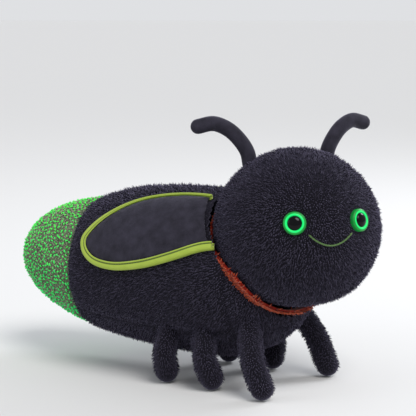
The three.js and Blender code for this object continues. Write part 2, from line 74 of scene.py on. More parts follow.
joint_places = {joint["name"]: Vector(joint["pos_m"]) for joint in frame["joints"] if "pos_m" in joint}

# %% Sizes that the pieces share
head_centre = joint_places["head_turn"]
head_radius = 72.5 * mm
head_half_height = 70.5 * mm
head_turn = math.radians(-35)
head_seam_back = 20.5 * mm
body_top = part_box("body_side_left")[1].z
body_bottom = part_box("belly_panel")[0].z
body_radius = (body_top - body_bottom) / 2
body_front_length = 93 * mm
body_rear_length = 219 * mm
body_behind_head = 85 * mm
body_centre = Vector((head_centre.x - body_behind_head, head_centre.y, (body_top + body_bottom) / 2))
body_fullness = 2.25
tail_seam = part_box("tail_left")[1].x
chest_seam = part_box("chest")[0].x
belly_seam_angle = math.radians(128)


def radius_at(along):
    """The body's radius at places along it, counted forwards from its widest place."""
    length = np.where(np.less(along, 0), body_rear_length, body_front_length)
    share = np.clip(np.abs(along) / length, 0, 1)
    return body_radius * (1 - share ** body_fullness) ** (1 / body_fullness)


def on_body(along, angle, height, side):
    """A place at the body's surface, raised by a height; side is 1 for the left, -1 for the right."""
    radius = radius_at(along) + height
    return np.stack([
        body_centre.x + along,
        body_centre.y + side * radius * np.sin(angle),
        body_centre.z + radius * np.cos(angle)], axis=-1)


def from_axis(spots):
    """Places counted from the body's centre, with their angles from its top and their radii."""
    level = spots - np.array(body_centre)
    return level, np.arctan2(level[:, 1], level[:, 2]), np.hypot(level[:, 1], level[:, 2])


print("body", round(body_radius / mm, 1), "mm in radius")

# %% [markdown]
# ## Camera
# The photograph is taken from in front and to one side, a little above the toy, from about 1.3 m.
# The camera is made first, because every finish is made to be seen in its picture.

# %% Place the camera
camera_azimuth = math.radians(32)
camera_elevation = math.radians(8)
camera_distance = 1.3
sensor_width = 36
pixels = 416
pixel_size = 0.87 * mm
head_pixel = (297, 228)


def make_camera():
    back = Vector((
        math.sin(camera_azimuth) * math.cos(camera_elevation),
        -math.cos(camera_azimuth) * math.cos(camera_elevation),
        math.sin(camera_elevation),
    ))
    right = Vector((math.cos(camera_azimuth), math.sin(camera_azimuth), 0))
    up = back.cross(right)
    across, down = ((place - pixels / 2) * pixel_size for place in head_pixel)
    place = head_centre + back * camera_distance
    aim = head_centre - right * across + up * down
    data = bpy.data.cameras.new("camera")
    data.sensor_width = sensor_width
    data.lens = sensor_width * camera_distance / (pixels * pixel_size)
    camera = bpy.data.objects.new("camera", data)
    camera.location = place
    camera.rotation_euler = (aim - place).to_track_quat("-Z", "Y").to_euler()
    bpy.context.scene.collection.objects.link(camera)
    bpy.context.scene.camera = camera
    return camera


camera = make_camera()
print("lens", round(camera.data.lens, 1), "mm")

# %% [markdown]
# ## Floor and light
# A pale floor and a soft studio light show the cloth plainly. The camera sees a brighter backdrop
# than the one that lights the toy, so that a pale ground doesn't wash out the dark plush.

# %% Make the lamps
def hang_lamp(name, data, place, way):
    lamp = bpy.data.objects.new(name, data)
    lamp.location = place
    lamp.rotation_euler = way.to_track_quat("-Z", "Y").to_euler()
    bpy.context.scene.collection.objects.link(lamp)


def make_lamp(name, place, size, power, colour):
    """A round lamp that shines on the head."""
    data = bpy.data.lights.new(name, "AREA")
    data.shape = "DISK"
    data.size = size
    data.energy = power
    data.color = colour
    hang_lamp(name, data, place, head_centre - place)


def make_sun(name, way, spread, power, colour):
    data = bpy.data.lights.new(name, "SUN")
    data.angle = spread
    data.energy = power
    data.color = colour
    hang_lamp(name, data, Vector((0, 0, 0)), way)


make_sun("key", Vector((-1.3, 0.7, -1.7)), math.radians(32), 2.1, (1.0, 0.98, 0.96))
make_lamp("rim", Vector((0.7, 1.6, 1.3)), 0.8, 20, (0.93, 0.95, 1.0))
make_lamp("fill", Vector((-1.2, -1.7, 0.9)), 1.2, 7, (0.96, 0.98, 1.0))
print(len(bpy.data.lights), "lamps")

# %% Make the floor and the backdrop
backdrop_tone = (0.74, 0.75, 0.77, 1)
floor_tone = (0.74, 0.74, 0.73, 1)
daylight_tone = (0.9, 0.93, 1.0, 1)
daylight_strength = 0.55
floor_width = 400
bpy.context.scene.view_settings.view_transform = "Standard"


def make_world():
    world = bpy.data.worlds.new("studio")
    bpy.context.scene.world = world
    world.use_nodes = True
    nodes, links = world.node_tree.nodes, world.node_tree.links
    plain = nodes["Background"]
    plain.inputs["Color"].default_value = daylight_tone
    plain.inputs["Strength"].default_value = daylight_strength
    shown = nodes.new("ShaderNodeBackground")
    shown.inputs["Color"].default_value = backdrop_tone
    path = nodes.new("ShaderNodeLightPath")
    choice = nodes.new("ShaderNodeMixShader")
    links.new(path.outputs["Is Camera Ray"], choice.inputs["Fac"])
    links.new(plain.outputs[0], choice.inputs[1])
    links.new(shown.outputs[0], choice.inputs[2])
    links.new(choice.outputs[0], nodes["World Output"].inputs["Surface"])


def make_floor():
    bpy.ops.mesh.primitive_plane_add(size=floor_width)
    floor = bpy.context.active_object
    floor.name = "floor"
    material = bpy.data.materials.new("floor")
    material.use_nodes = True
    shader = material.node_tree.nodes["Principled BSDF"]
    shader.inputs["Base Color"].default_value = floor_tone
    shader.inputs["Roughness"].default_value = 0.8
    shader.inputs["Specular IOR Level"].default_value = 0.1
    floor.data.materials.append(material)


make_world()
make_floor()
print("backdrop", backdrop_tone[:3])

# %% [markdown]
# ## Working by hand, in code
# An operator works on what is selected, so a few helpers select one piece, enter and leave edit
# mode, and add a modifier and apply it at once. A curved change, such as a seam that draws in, is a
# sum over all the vertices at once, so others read them as rows of numbers and move them back.

# %% Select, edit and modify a piece
def only(piece):
    bpy.ops.object.select_all(action="DESELECT")
    piece.select_set(True)
    bpy.context.view_layer.objects.active = piece


@contextlib.contextmanager
def editing(piece):
    """Opens a piece in edit mode with all of it selected, and leaves edit mode at the end."""
    only(piece)
    bpy.ops.object.mode_set(mode="EDIT")
    bpy.ops.mesh.select_mode(type="VERT")
    bpy.ops.mesh.select_all(action="SELECT")
    yield
    bpy.ops.object.mode_set(mode="OBJECT")


def pick(piece, wanted):
    """In edit mode, selects the vertices whose place passes a test."""
    mesh = bmesh.from_edit_mesh(piece.data)
    for vertex in mesh.verts:
        vertex.select = bool(wanted(vertex.co))
    mesh.select_flush_mode()
    bmesh.update_edit_mesh(piece.data)


def take_away(piece, wanted):
    """Deletes the vertices whose place passes a test."""
    with editing(piece):
        pick(piece, wanted)
        bpy.ops.mesh.delete(type="VERT")
    return piece


def take_away_marked(piece, name):
    """Deletes the vertices that keep more than 0 under a name."""
    with editing(piece):
        mesh = bmesh.from_edit_mesh(piece.data)
        layer = mesh.verts.layers.float[name]
        for vertex in mesh.verts:
            vertex.select = vertex[layer] > 0
        mesh.select_flush_mode()
        bmesh.update_edit_mesh(piece.data)
        bpy.ops.mesh.delete(type="VERT")


def cut(piece, place, normal):
    """Takes away what lies in front of a plane."""
    with editing(piece):
        bpy.ops.mesh.bisect(plane_co=place, plane_no=normal, clear_outer=True)
    return piece


def named(name):
    """Names the piece that an operator has just added."""
    piece = bpy.context.active_object
    piece.name = name
    piece.data.name = name
    return piece


def settle(piece):
    """Moves a piece's own place, turn and size into its mesh."""
    only(piece)
    bpy.ops.object.transform_apply()


def modified(piece, kind, **settings):
    only(piece)
    modifier = piece.modifiers.new(kind.lower(), kind)
    for key, value in settings.items():
        setattr(modifier, key, value)
    bpy.ops.object.modifier_apply(modifier=modifier.name)
    return piece


def twin(piece, name):
    copy = piece.copy()
    copy.data = piece.data.copy()
    copy.name = name
    bpy.context.scene.collection.objects.link(copy)
    return copy


def smoothed(piece):
    piece.data.polygons.foreach_set("use_smooth", [True] * len(piece.data.polygons))
    return piece


def triangles(piece):
    return sum(len(face.vertices) - 2 for face in piece.data.polygons)


print("helpers for shaping ready")

# %% Read and move the vertices
def rows(items, name, width):
    """One property of many items, read at once as rows of numbers."""
    found = np.empty(len(items) * width, np.float32)
    items.foreach_get(name, found)
    return found.reshape(-1, width)


def places(piece):
    return rows(piece.data.vertices, "co", 3).astype(float)


def facings(piece):
    return rows(piece.data.vertex_normals, "vector", 3).astype(float)


def move_to(piece, spots):
    piece.data.vertices.foreach_set("co", np.asarray(spots, np.float32).ravel())
    piece.data.update()


def in_order(piece):
    """Sorts the faces of a piece just made, and its map with them.

    Some operators number new faces anew in each run. The pile is strewn face by face, so without
    this every run would put the tufts elsewhere.
    """
    mesh = piece.data
    spots = rows(mesh.vertices, "co", 3)
    flat = rows(mesh.uv_layers[0].data, "uv", 2)
    faces = sorted((list(face.vertices), list(face.loop_indices)) for face in mesh.polygons)
    mesh.clear_geometry()
    mesh.from_pydata(spots, [], [corners for corners, _ in faces])
    kept = flat[np.concatenate([loops for _, loops in faces])]
    mesh.uv_layers.new().data.foreach_set("uv", kept.ravel())
    return piece


def remember(piece, name, values):
    """Keeps one number for each vertex, where the pile and the materials can read it."""
    made = piece.data.attributes.get(name) or piece.data.attributes.new(name, "FLOAT", "POINT")
    made.data.foreach_set("value", np.asarray(values, np.float32))


def kept_values(piece, name):
    return rows(piece.data.attributes[name].data, "value", 1).ravel()


def beyond(plane, spots):
    """How far in front of a plane each place lies."""
    place, normal = plane
    return (spots - np.array(place)) @ np.array(normal)


def outwards(spots, centres):
    """The ways from centres to places, each as long as 1."""
    out = spots - centres
    return out / np.linalg.norm(out, axis=1).clip(1e-6)[:, None]


def fade(distance, width):
    """1 at no distance, falling smoothly to almost 0 at twice the width."""
    return np.exp(-((distance / width) ** 2))


print("helpers for the vertices ready")

# %% Draw a piece's map
map_margin = 0.02
corner_width = 0.26
skin_start = 0.32
skin_width = 0.66
skin_height = 0.96


def bake_layer(piece):
    """The one map that a piece keeps, under the name that a bake looks for."""
    layers = piece.data.uv_layers
    while len(layers) > 1:
        layers.remove(layers[-1])
    layer = layers[0] if layers else layers.new()
    layer.name = "OFBake"
    return layer


def map_in_corner(model):
    """Draws a small model's own map in a corner, which all its copies share."""
    layer = bake_layer(model)
    flat = rows(layer.data, "uv", 2)
    layer.data.foreach_set("uv", (map_margin + corner_width * flat).ravel())


def map_round(piece, centre, axis, start):
    """Draws a skin's map beside that corner: round an axis across it, and along the axis up it."""
    axis, start = np.array(axis), np.array(start)
    spots = places(piece) - np.array(centre)
    along = spots @ axis
    level = spots - along[:, None] * axis
    angle = np.arctan2(np.abs(level @ np.cross(axis, start)), level @ start)
    up = (along - along.min()) / np.ptp(along)
    flat = np.stack([skin_start + skin_width * angle / math.pi, map_margin + skin_height * up], axis=1)
    corners = np.empty(len(piece.data.loops), np.int32)
    piece.data.loops.foreach_get("vertex_index", corners)
    bake_layer(piece).data.foreach_set("uv", flat[corners].astype(np.float32).ravel())


print("helpers for maps ready")

# %% [markdown]
# ## Shader maths
# A finish reads best as a formula. `Value` wraps one socket, so that values add and multiply as
# numbers do, and `Finish` adds every other node through one method.

# %% Values and finishes
class Value:
    """One output of a material's nodes, which can be used in sums."""

    def __init__(self, finish, socket):
        self.finish = finish
        self.socket = socket

    def sum(self, operation, first, second):
        return self.finish.node("ShaderNodeMath", {"operation": operation}, {0: first, 1: second})

    def __add__(self, other):
        return self.sum("ADD", self, other)

    def __sub__(self, other):
        return self.sum("SUBTRACT", self, other)

    def __rsub__(self, other):
        return self.sum("SUBTRACT", other, self)

    def __mul__(self, other):
        return self.sum("MULTIPLY", self, other)

    def __pow__(self, other):
        return self.sum("POWER", self, other)

    __radd__ = __add__
    __rmul__ = __mul__


class Finish:
    """A material, built up from its Principled shader."""

    def __init__(self, name, **plain):
        self.material = bpy.data.materials.new(name)
        self.material.use_nodes = True
        self.tree = self.material.node_tree
        self.shader = self.tree.nodes["Principled BSDF"]
        for key, value in plain.items():
            self.set(key.replace("_", " ").title().replace("Ior", "IOR"), value)

    def set(self, socket, value):
        self.feed(self.shader.inputs[socket], value)

    def feed(self, socket, value):
        if isinstance(value, Value):
            self.tree.links.new(value.socket, socket)
        else:
            socket.default_value = value

    def node(self, kind, settings=None, inputs=None, output=0):
        made = self.tree.nodes.new(kind)
        for key, value in (settings or {}).items():
            setattr(made, key, value)
        for key, value in (inputs or {}).items():
            self.feed(made.inputs[key], value)
        return Value(self, made.outputs[output])

    def spots(self):
        return self.node("ShaderNodeTexCoord", output="Object")

    def noise(self, size, detail=2.0):
        """Cloudy values from 0 to 1 that change over about that size."""
        inputs = {"Vector": self.spots(), "Scale": 1 / size, "Detail": detail}
        return self.node("ShaderNodeTexNoise", inputs=inputs)

    def kept(self, name):
        """A number that the mesh keeps for each vertex."""
        return self.node("ShaderNodeAttribute", {"attribute_name": name}, output="Fac")

    def between(self, value, low, high):
        """0 below low, 1 above high, and even between them."""
        inputs = {"Value": value, "From Min": low, "From Max": high}
        return self.node("ShaderNodeMapRange", inputs=inputs)

    def blend(self, share, first, second):
        settings = {"data_type": "RGBA"}
        return self.node("ShaderNodeMix", settings, {0: share, 6: first, 7: second}, output=2)

    def colour(self, share, first, second):
        self.set("Base Color", self.blend(share, first, second))

    def glow(self, colour, strength):
        self.set("Emission Color", colour)
        self.set("Emission Strength", strength)

    def bump(self, height, depth, strength=1.0):
        inputs = {"Height": height, "Distance": depth, "Strength": strength}
        self.set("Normal", self.node("ShaderNodeBump", inputs=inputs))

    def grain(self, values, least, more, depth):
        """A roughness that starts at least and rises by up to more, and a relief of the same grain."""
        self.set("Roughness", least + more * values)
        self.bump(values, depth)


def paint(red, green, blue):
    return (red, green, blue, 1)


print("shader maths ready")

# %% [markdown]
# ## The cloths
# Plush is painted darkest down between its tufts, as painted shade, and palest at their tips, as a
# painted highlight, where it also catches the light as a soft sheen. Each tuft keeps how far along it
# a point lies as `tip`, and a random tone of its own as `shade`.
# One even colour would look like felt, so noises of a few sizes cloud the cloth and its fibres.

# %% Plush and velour
def make_plush(name, root, tip, sheen):
    finish = Finish(name, sheen_weight=0.45, sheen_roughness=0.45, sheen_tint=sheen,
                    specular_ior_level=0.18)
    cloud = finish.noise(26 * mm)
    patch = finish.noise(7 * mm, detail=3)
    # Painted shade on the skin and the tufts' roots, rising to a painted highlight at their tips
    reach = finish.kept("tip") ** 1.3
    share = reach * (0.45 + 0.5 * patch + 0.25 * cloud) + 0.22 * finish.kept("shade") - 0.08
    finish.colour(finish.between(share, 0, 1), root, tip)
    finish.grain(finish.noise(0.5 * mm, detail=3), 0.78, 0.2, 0.25 * mm)
    return finish.material


def make_velour():
    """Short stroked nap: random patches of painted shade, where it would lean away, and of painted sheen,
    where it would lean up.
    """
    finish = Finish("velour", sheen_weight=0.6, sheen_roughness=0.3, sheen_tint=paint(0.66, 0.64, 0.80),
                    specular_ior_level=0.2)
    nap_shade_and_sheen = finish.noise(9 * mm, detail=3)
    nap = finish.noise(0.7 * mm, detail=4)
    share = finish.between(0.65 * nap_shade_and_sheen + 0.45 * nap, 0.35, 0.8)
    # From painted shade in the darker patches to painted sheen in the paler ones
    finish.colour(share, paint(0.010, 0.009, 0.015), paint(0.036, 0.033, 0.050))
    finish.grain(nap, 0.7, 0.25, 0.3 * mm)
    return finish.material


# The first colour of each plush is its painted shade at the roots, the second its painted highlight at the
# tips
night_plush = make_plush(
    "night_plush", paint(0.004, 0.0033, 0.007), paint(0.040, 0.035, 0.057), paint(0.50, 0.46, 0.70))
orange_plush = make_plush(
    "orange_plush", paint(0.26, 0.010, 0.003), paint(0.90, 0.19, 0.075), paint(1.0, 0.70, 0.62))
velour = make_velour()
print([cloth.name for cloth in (night_plush, orange_plush, velour)])

# %% Bouclé and its yarn
def make_boucle():
    """Pale sage loops, darker low down in the hollows as painted shade, where the green of the afterglow
    shows more.
    """
    finish = Finish("glow_boucle", sheen_weight=0.3, sheen_tint=paint(0.95, 1.0, 0.9),
                    specular_ior_level=0.2)
    cloud = finish.noise(14 * mm, detail=3)
    # Darker towards each loop's foot: painted shade in the hollows, clouded at random
    share = finish.between(0.55 * finish.kept("tip") + 0.5 * cloud, 0.2, 0.9)
    finish.colour(share, paint(0.085, 0.095, 0.058), paint(0.34, 0.36, 0.25))
    finish.grain(finish.noise(0.45 * mm, detail=3), 0.75, 0.2, 0.2 * mm)
    finish.glow(finish.blend(share, paint(0.002, 0.035, 0.007), paint(0.005, 0.018, 0.005)), 0.5)
    return finish.material


def make_glow_yarn():
    """Emerald yarn, yellower towards the tail's top and bluer towards its bottom."""
    finish = Finish("glow_yarn", roughness=0.55, sheen_weight=0.15)
    height = finish.node("ShaderNodeSeparateXYZ", inputs={"Vector": finish.spots()}, output=2)
    upper = finish.between(height + 0.05 * finish.kept("shade"), 0.08, 0.19)
    green = finish.blend(upper, paint(0.0, 0.46, 0.085), paint(0.045, 0.58, 0.035))
    finish.set("Base Color", green)
    finish.glow(green, 0.6)
    return finish.material


glow_boucle = make_boucle()
glow_yarn = make_glow_yarn()
print([cloth.name for cloth in (glow_boucle, glow_yarn)])

# %% [markdown]
# ## Pile
# Plush is a pile of tufts that lean the way they are stroked and clump a little. Hair could be
# combed over the skin, but hair is no mesh, and bump alone leaves the outline smooth. So one tuft is
# modelled once: a cone with a bisected middle, fattened and bent. A geometry nodes modifier then
# strews thousands of copies over the skin, and applying it makes them part of the piece.

# %% One tuft
tuft_length = 4.2 * mm
tuft_radius = 0.62 * mm
tuft_middle = 0.45 * tuft_length
tuft_fatness = 1.55
tuft_bend = (0.3 * tuft_length, 0, -0.06 * tuft_length)


def as_model(piece):
    """Keeps a small model out of the picture, where only its copies show."""
    map_in_corner(piece)
    piece.hide_render = True
    return smoothed(piece)


def make_tuft():
    bpy.ops.mesh.primitive_cone_add(
        vertices=3, radius1=tuft_radius, radius2=0, depth=tuft_length, location=(0, 0, tuft_length / 2))
    tuft = named("plush_tuft")
    settle(tuft)
    with editing(tuft):
        bpy.ops.mesh.bisect(plane_co=(0, 0, tuft_middle), plane_no=(0, 0, 1))
        pick(tuft, lambda spot: abs(spot.z - tuft_middle) < 0.01 * tuft_length)
        bpy.ops.transform.resize(
            value=(tuft_fatness, tuft_fatness, 1), center_override=(0, 0, tuft_middle))
        pick(tuft, lambda spot: spot.z > 0.9 * tuft_length)
        bpy.ops.transform.translate(value=tuft_bend)
    remember(tuft, "tip", places(tuft)[:, 2] / tuft_length)
    return as_model(tuft)


plush_tuft = make_tuft()
print("one tuft has", triangles(plush_tuft), "triangles")

# %% Nodes that strew a pile
class Strewer:
    """A geometry nodes tree under construction."""

    def __init__(self, name):
        self.tree = bpy.data.node_groups.new(name, "GeometryNodeTree")
        for way in ("INPUT", "OUTPUT"):
            self.tree.interface.new_socket("Geometry", in_out=way, socket_type="NodeSocketGeometry")

    def node(self, kind, settings=None, inputs=None):
        made = self.tree.nodes.new(kind)
        for key, value in (settings or {}).items():
            setattr(made, key, value)
        for key, value in (inputs or {}).items():
            for item in value if isinstance(value, list) else [value]:
                if isinstance(item, bpy.types.NodeSocket):
                    self.tree.links.new(item, made.inputs[key])
                else:
                    made.inputs[key].default_value = item
        return made.outputs

    def kept(self, name):
        return self.node("GeometryNodeInputNamedAttribute", {"data_type": "FLOAT"}, {"Name": name})[0]

    def vector(self, operation, first, second):
        return self.node("ShaderNodeVectorMath", {"operation": operation}, {0: first, 1: second})[0]

    def scaled(self, vector, by):
        settings = {"operation": "SCALE"}
        return self.node("ShaderNodeVectorMath", settings, {0: vector, "Scale": by})[0]

    def random(self, low, high, seed):
        inputs = {2: low, 3: high, "Seed": seed}
        return self.node("FunctionNodeRandomValue", {"data_type": "FLOAT"}, inputs)[1]


print("nodes for a pile ready")

# %% Strew a pile over a skin
clump_width = 7 * mm
copy_sizes = (0.75, 1.25)
crowding = 1.6


def strew(piece, model, spacing, lean, tousle, seed):
    """Covers a piece with copies where its `cover` is over zero, as long as its `length` says."""
    build = Strewer(f"pile_{piece.name}")
    skin = build.node("NodeGroupInput")[0]
    points, normal, _ = build.node(
        "GeometryNodeDistributePointsOnFaces", {"distribute_method": "POISSON"},
        {"Mesh": skin, "Distance Min": spacing, "Density Max": crowding / spacing ** 2,
         "Density Factor": build.kept("cover"), "Seed": seed})
    place = build.node("GeometryNodeInputPosition")[0]
    clumps = {"Vector": place, "Scale": 1 / clump_width, "Detail": 2.0}
    swirl = build.node("ShaderNodeTexNoise", inputs=clumps)
    drift = build.vector("SUBTRACT", swirl["Color"], Vector((0.5, 0.5, 0.5)))
    stroked = build.vector("ADD", normal, Vector(lean))
    way = build.vector("ADD", stroked, build.scaled(drift, tousle))
    upright = build.node("FunctionNodeAlignRotationToVector", {"axis": "Z"}, {"Vector": way})[0]
    turn = build.node("ShaderNodeCombineXYZ", inputs={"Z": build.random(0, 2 * math.pi, seed + 1)})[0]
    twist = build.node("FunctionNodeEulerToRotation", inputs={"Euler": turn})[0]
    turned = build.node(
        "FunctionNodeRotateRotation", {"rotation_space": "LOCAL"},
        {"Rotation": upright, "Rotate By": twist})[0]
    size = build.node(
        "ShaderNodeMath", {"operation": "MULTIPLY"},
        {0: build.kept("length"), 1: build.random(*copy_sizes, seed + 2)})[0]
    instance = build.node("GeometryNodeObjectInfo", inputs={"Object": model})["Geometry"]
    stood = build.node(
        "GeometryNodeInstanceOnPoints",
        inputs={"Points": points, "Instance": instance, "Rotation": turned, "Scale": size})[0]
    shaded = build.node(
        "GeometryNodeStoreNamedAttribute", {"data_type": "FLOAT", "domain": "INSTANCE"},
        {"Geometry": stood, "Name": "shade", "Value": build.random(0, 1, seed + 3)})[0]
    real = build.node("GeometryNodeRealizeInstances", inputs={0: shaded})[0]
    both = build.node("GeometryNodeJoinGeometry", inputs={0: [real, skin]})[0]
    build.node("NodeGroupOutput", inputs={0: both})
    before = triangles(piece)
    modified(piece, "NODES", node_group=build.tree)
    count = (triangles(piece) - before) // max(1, triangles(model))
    print(piece.name, "has", count, "copies of", model.name, "and", triangles(piece), "triangles")


print("pile helper ready")

# %% Give a piece its cloth and its body
def clothe(piece, cloth, slot, *nodes):
    """Gives a finished piece its cloth, and hides the solids that it stands for."""
    piece.data.materials.clear()
    piece.data.materials.append(cloth)
    if nodes:
        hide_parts(*nodes)


def dress(piece, cloth, body, slot, *nodes):
    """Clothes a piece that moves with one body."""
    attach(piece, body)
    clothe(piece, cloth, slot, *nodes)


def dress_limb(limb, cloth, body, slot, node, joint, start_height, end_height):
    """Clothes a stuffed limb that bends between two heights, counted from its joint."""
    clothe(limb, cloth, slot, node, f"{node}_filling")
    start, end = (joint_places[joint] + Vector((0, 0, height)) for height in (start_height, end_height))
    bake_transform(limb, body, node, start=tuple(start), end=tuple(end))


print("clothing helpers ready")

# %% [markdown]
# ## Body
# The body is a barrel with a long rear, sewn from panels. Each panel could be shaped by itself, but
# then their seams would never quite meet. So the barrel starts as a sphere laid on its side, whose
# front half is squeezed. Bisecting at the seams gives each panel its skin, and Solidify its thickness.

# %% Make the barrel
def make_barrel():
    bpy.ops.mesh.primitive_uv_sphere_add(
        segments=128, ring_count=110, radius=1, rotation=(0, math.pi / 2, 0))
    barrel = in_order(named("barrel"))
    barrel.scale = (body_radius, body_radius, body_rear_length)
    settle(barrel)
    with editing(barrel):
        pick(barrel, lambda spot: spot.x > 0)
        squeeze = body_front_length / body_rear_length
        bpy.ops.transform.resize(value=(squeeze, 1, 1), center_override=(0, 0, 0))
        bpy.ops.mesh.select_all(action="SELECT")
        bpy.ops.transform.translate(value=body_centre)
    return barrel


def fill_out(piece):
    """Stuffs the round barrel to its fuller shape."""
    spots = places(piece)
    level, _, radius = from_axis(spots)
    spots[:, 1:] += level[:, 1:] * (radius_at(level[:, 0]) / radius.clip(1e-9) - 1)[:, None]
    move_to(piece, spots)


barrel = make_barrel()
fill_out(barrel)
print("barrel of", triangles(barrel), "triangles")

# %% Draw in the seams
seam_depth = 1.6 * mm
seam_width = 3.2 * mm
tail_seam_depth = 0.8 * mm
tail_seam_shift = 4.5 * mm
tail_seam_slope = -0.01
tail_dip = 6.5 * mm
dip_ahead = 24 * mm
dip_behind = 50 * mm
far = 1
head_hollow = head_radius + 3.2 * mm
tail_plane = (
    Vector((tail_seam - tail_seam_shift, 0, body_centre.z)), Vector((1, 0, tail_seam_slope)).normalized())
chest_plane = (Vector((chest_seam, 0, 0)), Vector((1, 0, 0)))
middle_plane = (body_centre, Vector((0, 1, 0)))


def seam_distances(spots):
    """How far each place on the barrel is from the nearest seam."""
    _, angle, radius = from_axis(spots)
    angle = np.abs(angle)
    past_tail, past_chest = beyond(tail_plane, spots), beyond(chest_plane, spots)
    belly = np.where((past_tail > 0) & (past_chest < 0), radius * np.abs(angle - belly_seam_angle), far)
    crest = np.where(past_chest < 0, radius * angle, far)
    keel = np.where(past_tail < 0, radius * (math.pi - angle), far)
    return np.min([np.abs(past_tail), np.abs(past_chest), belly, crest, keel], axis=0)


def draw_in_seams(piece):
    """Sinks the seams, and dips the back where the tail is sewn on."""
    spots = places(piece)
    level, _, radius = from_axis(spots)
    past_tail = beyond(tail_plane, spots)
    drawn = seam_depth * fade(seam_distances(spots), seam_width)
    drawn += tail_seam_depth * fade(past_tail, seam_width)
    upper = np.clip(level[:, 2] / body_radius, 0, 1)
    behind = np.exp(np.minimum(past_tail, 0) / dip_behind)
    drawn += tail_dip * upper * np.where(past_tail > 0, fade(past_tail, dip_ahead), behind)
    radius = radius.clip(1e-6)
    spots[:, 1:] -= level[:, 1:] * (np.minimum(drawn, radius) / radius)[:, None]
    move_to(piece, spots)


draw_in_seams(barrel)
take_away(barrel, lambda spot: (spot - head_centre).length < head_hollow)
print("barrel of", triangles(barrel), "triangles with its hollow for the head")

# %% Cut the panels
skin_thickness = 2.2 * mm
belly_planes = [
    (body_centre, Vector((0, side * math.cos(belly_seam_angle), -math.sin(belly_seam_angle))))
    for _, side in sides]


def panel(name, *planes):
    """A copy of the barrel without what lies in front of each plane; a minus turns a plane round."""
    made = twin(barrel, name)
    for (place, normal), turn in planes:
        cut(made, place, normal * turn)
    return modified(made, "SOLIDIFY", thickness=skin_thickness, offset=-1)


panels = {"chest": panel("chest_plush", (chest_plane, -1))}
for (name, side), belly_plane in zip(sides, belly_planes):
    panels[f"tail_{name}"] = panel(f"tail_{name}_boucle", (tail_plane, 1), (middle_plane, -side))
    panels[f"body_side_{name}"] = panel(
        f"body_side_{name}_plush", (tail_plane, -1), (chest_plane, 1), (middle_plane, -side),
        (belly_plane, 1))
panels["belly_panel"] = panel(
    "belly_plush", (tail_plane, -1), (chest_plane, 1), *[(plane, -1) for plane in belly_planes])
bpy.data.objects.remove(barrel)
print({name: triangles(piece) for name, piece in panels.items()})

# %% [markdown]
# ## Where the pile grows
# Tufts stand on the outside of a skin only. They are short in a seam, under a wing and beside a
# sewn line, and long along the back. A picture could be painted to say so, but the places are
# known, so two numbers at each vertex say it exactly: `cover` and `length`.

# %% Draw the wing's outline, flat
wing_size = np.array([158, 84.5]) * mm
wing_tip_back = 104 * mm
wing_lower_angle = math.radians(86.5)
wing_edge_steepness = 12
wing_outline_shares = (
    (0, 0.31), (0.05, 0.47), (0.16, 0.67), (0.31, 0.85), (0.5, 0.965), (0.68, 1), (0.86, 0.98),
    (1, 0.86), (1.04, 0.6), (1, 0.4), (0.86, 0.3), (0.69, 0.17), (0.47, 0.05), (0.25, 0), (0.1, 0.05),
    (0.02, 0.17))


def smooth_path(points, steps=24, closed=False):
    """A smooth curve through a few points, as a row of many points."""
    points = np.array(points, float)
    if not closed:
        points = np.vstack([2 * points[0] - points[1], points, 2 * points[-1] - points[-2]])
    made = []
    for i in range(len(points)) if closed else range(1, len(points) - 2):
        before, first, second, after = (points[(i + k) % len(points)] for k in (-1, 0, 1, 2))
        pairs = ((before, first), (first, second), (second, after))
        near, here, far_on = (max(np.linalg.norm(b - a) ** 0.5, 1e-6) for a, b in pairs)
        leave = ((first - before) / near - (second - before) / (near + here)) * here + second - first
        arrive = ((after - second) / far_on - (after - first) / (here + far_on)) * here + second - first
        square = 3 * (second - first) - 2 * leave - arrive
        cube = 2 * (first - second) + leave + arrive
        for share in np.arange(steps) / steps:
            made.append(first + share * (leave + share * (square + share * cube)))
    if not closed:
        made.append(points[-2])
    return np.array(made)


def round_wing(flat):
    """The angles and the distances of flat places, seen from the middle of the wing."""
    level = flat - wing_outline.mean(0)
    return np.arctan2(level[:, 1], level[:, 0]), np.hypot(*level.T)


def under_wing(spots):
    """1 where a wing covers the body, and 0 outside the wing's edge."""
    level, angle, _ = from_axis(spots)
    up = (wing_lower_angle - np.abs(angle)) * body_radius
    way, distance = round_wing(np.stack([level[:, 0] + wing_tip_back, up], axis=1))
    reach = np.interp(way, *round_wing(wing_outline), period=2 * math.pi)
    return np.clip((1 - distance / reach) * wing_edge_steepness, 0, 1)


wing_outline = smooth_path(np.array(wing_outline_shares) * wing_size, 16, closed=True)
print("wing outline of", len(wing_outline), "points")

# %% Mark the outside and the length of the pile
tail_bow = 3.5 * mm
bow_width = 18 * mm


def mark_outside(piece, centres, least):
    """cover is 1 where a skin faces away from its stuffing, and 0 on its inside and its rim."""
    out = outwards(places(piece), np.array(centres))
    remember(piece, "cover", (facings(piece) * out).sum(1) > least)


def along_axis(spots):
    """The nearest places on the body's axis, moved towards the middle near its ends."""
    centres = np.tile(np.array(body_centre), (len(spots), 1))
    level = spots[:, 0] - body_centre.x
    lengths = np.where(level < 0, body_rear_length, body_front_length)
    centres[:, 0] += level * (1 - (body_radius / lengths) ** 2)
    return centres


def bow_tail_seam(piece):
    """Bends the tail's seam back at the top and the bottom, and forwards at the sides."""
    spots = places(piece)
    around = np.cos(2 * from_axis(spots)[1])
    spots[:, 0] -= tail_bow * around * fade(beyond(tail_plane, spots), bow_width)
    move_to(piece, spots)


for name, piece in panels.items():
    spots = places(piece)
    mark_outside(piece, along_axis(spots), 0.1 if name.startswith("tail") else 0.45)
    near_seam = fade(seam_distances(spots), 0.8 * seam_width)
    crest = np.clip((spots[:, 2] - body_centre.z) / body_radius, 0, 1) ** 3
    covered = under_wing(spots) if name.startswith("body_side") else 0
    remember(piece, "length", (0.85 + 0.3 * crest) * (1 - 0.45 * near_seam) * (1 - 0.7 * covered))
    map_round(piece, body_centre, (1, 0, 0), (0, 0, 1))
    bow_tail_seam(piece)
print("pile marked on", len(panels), "panels")

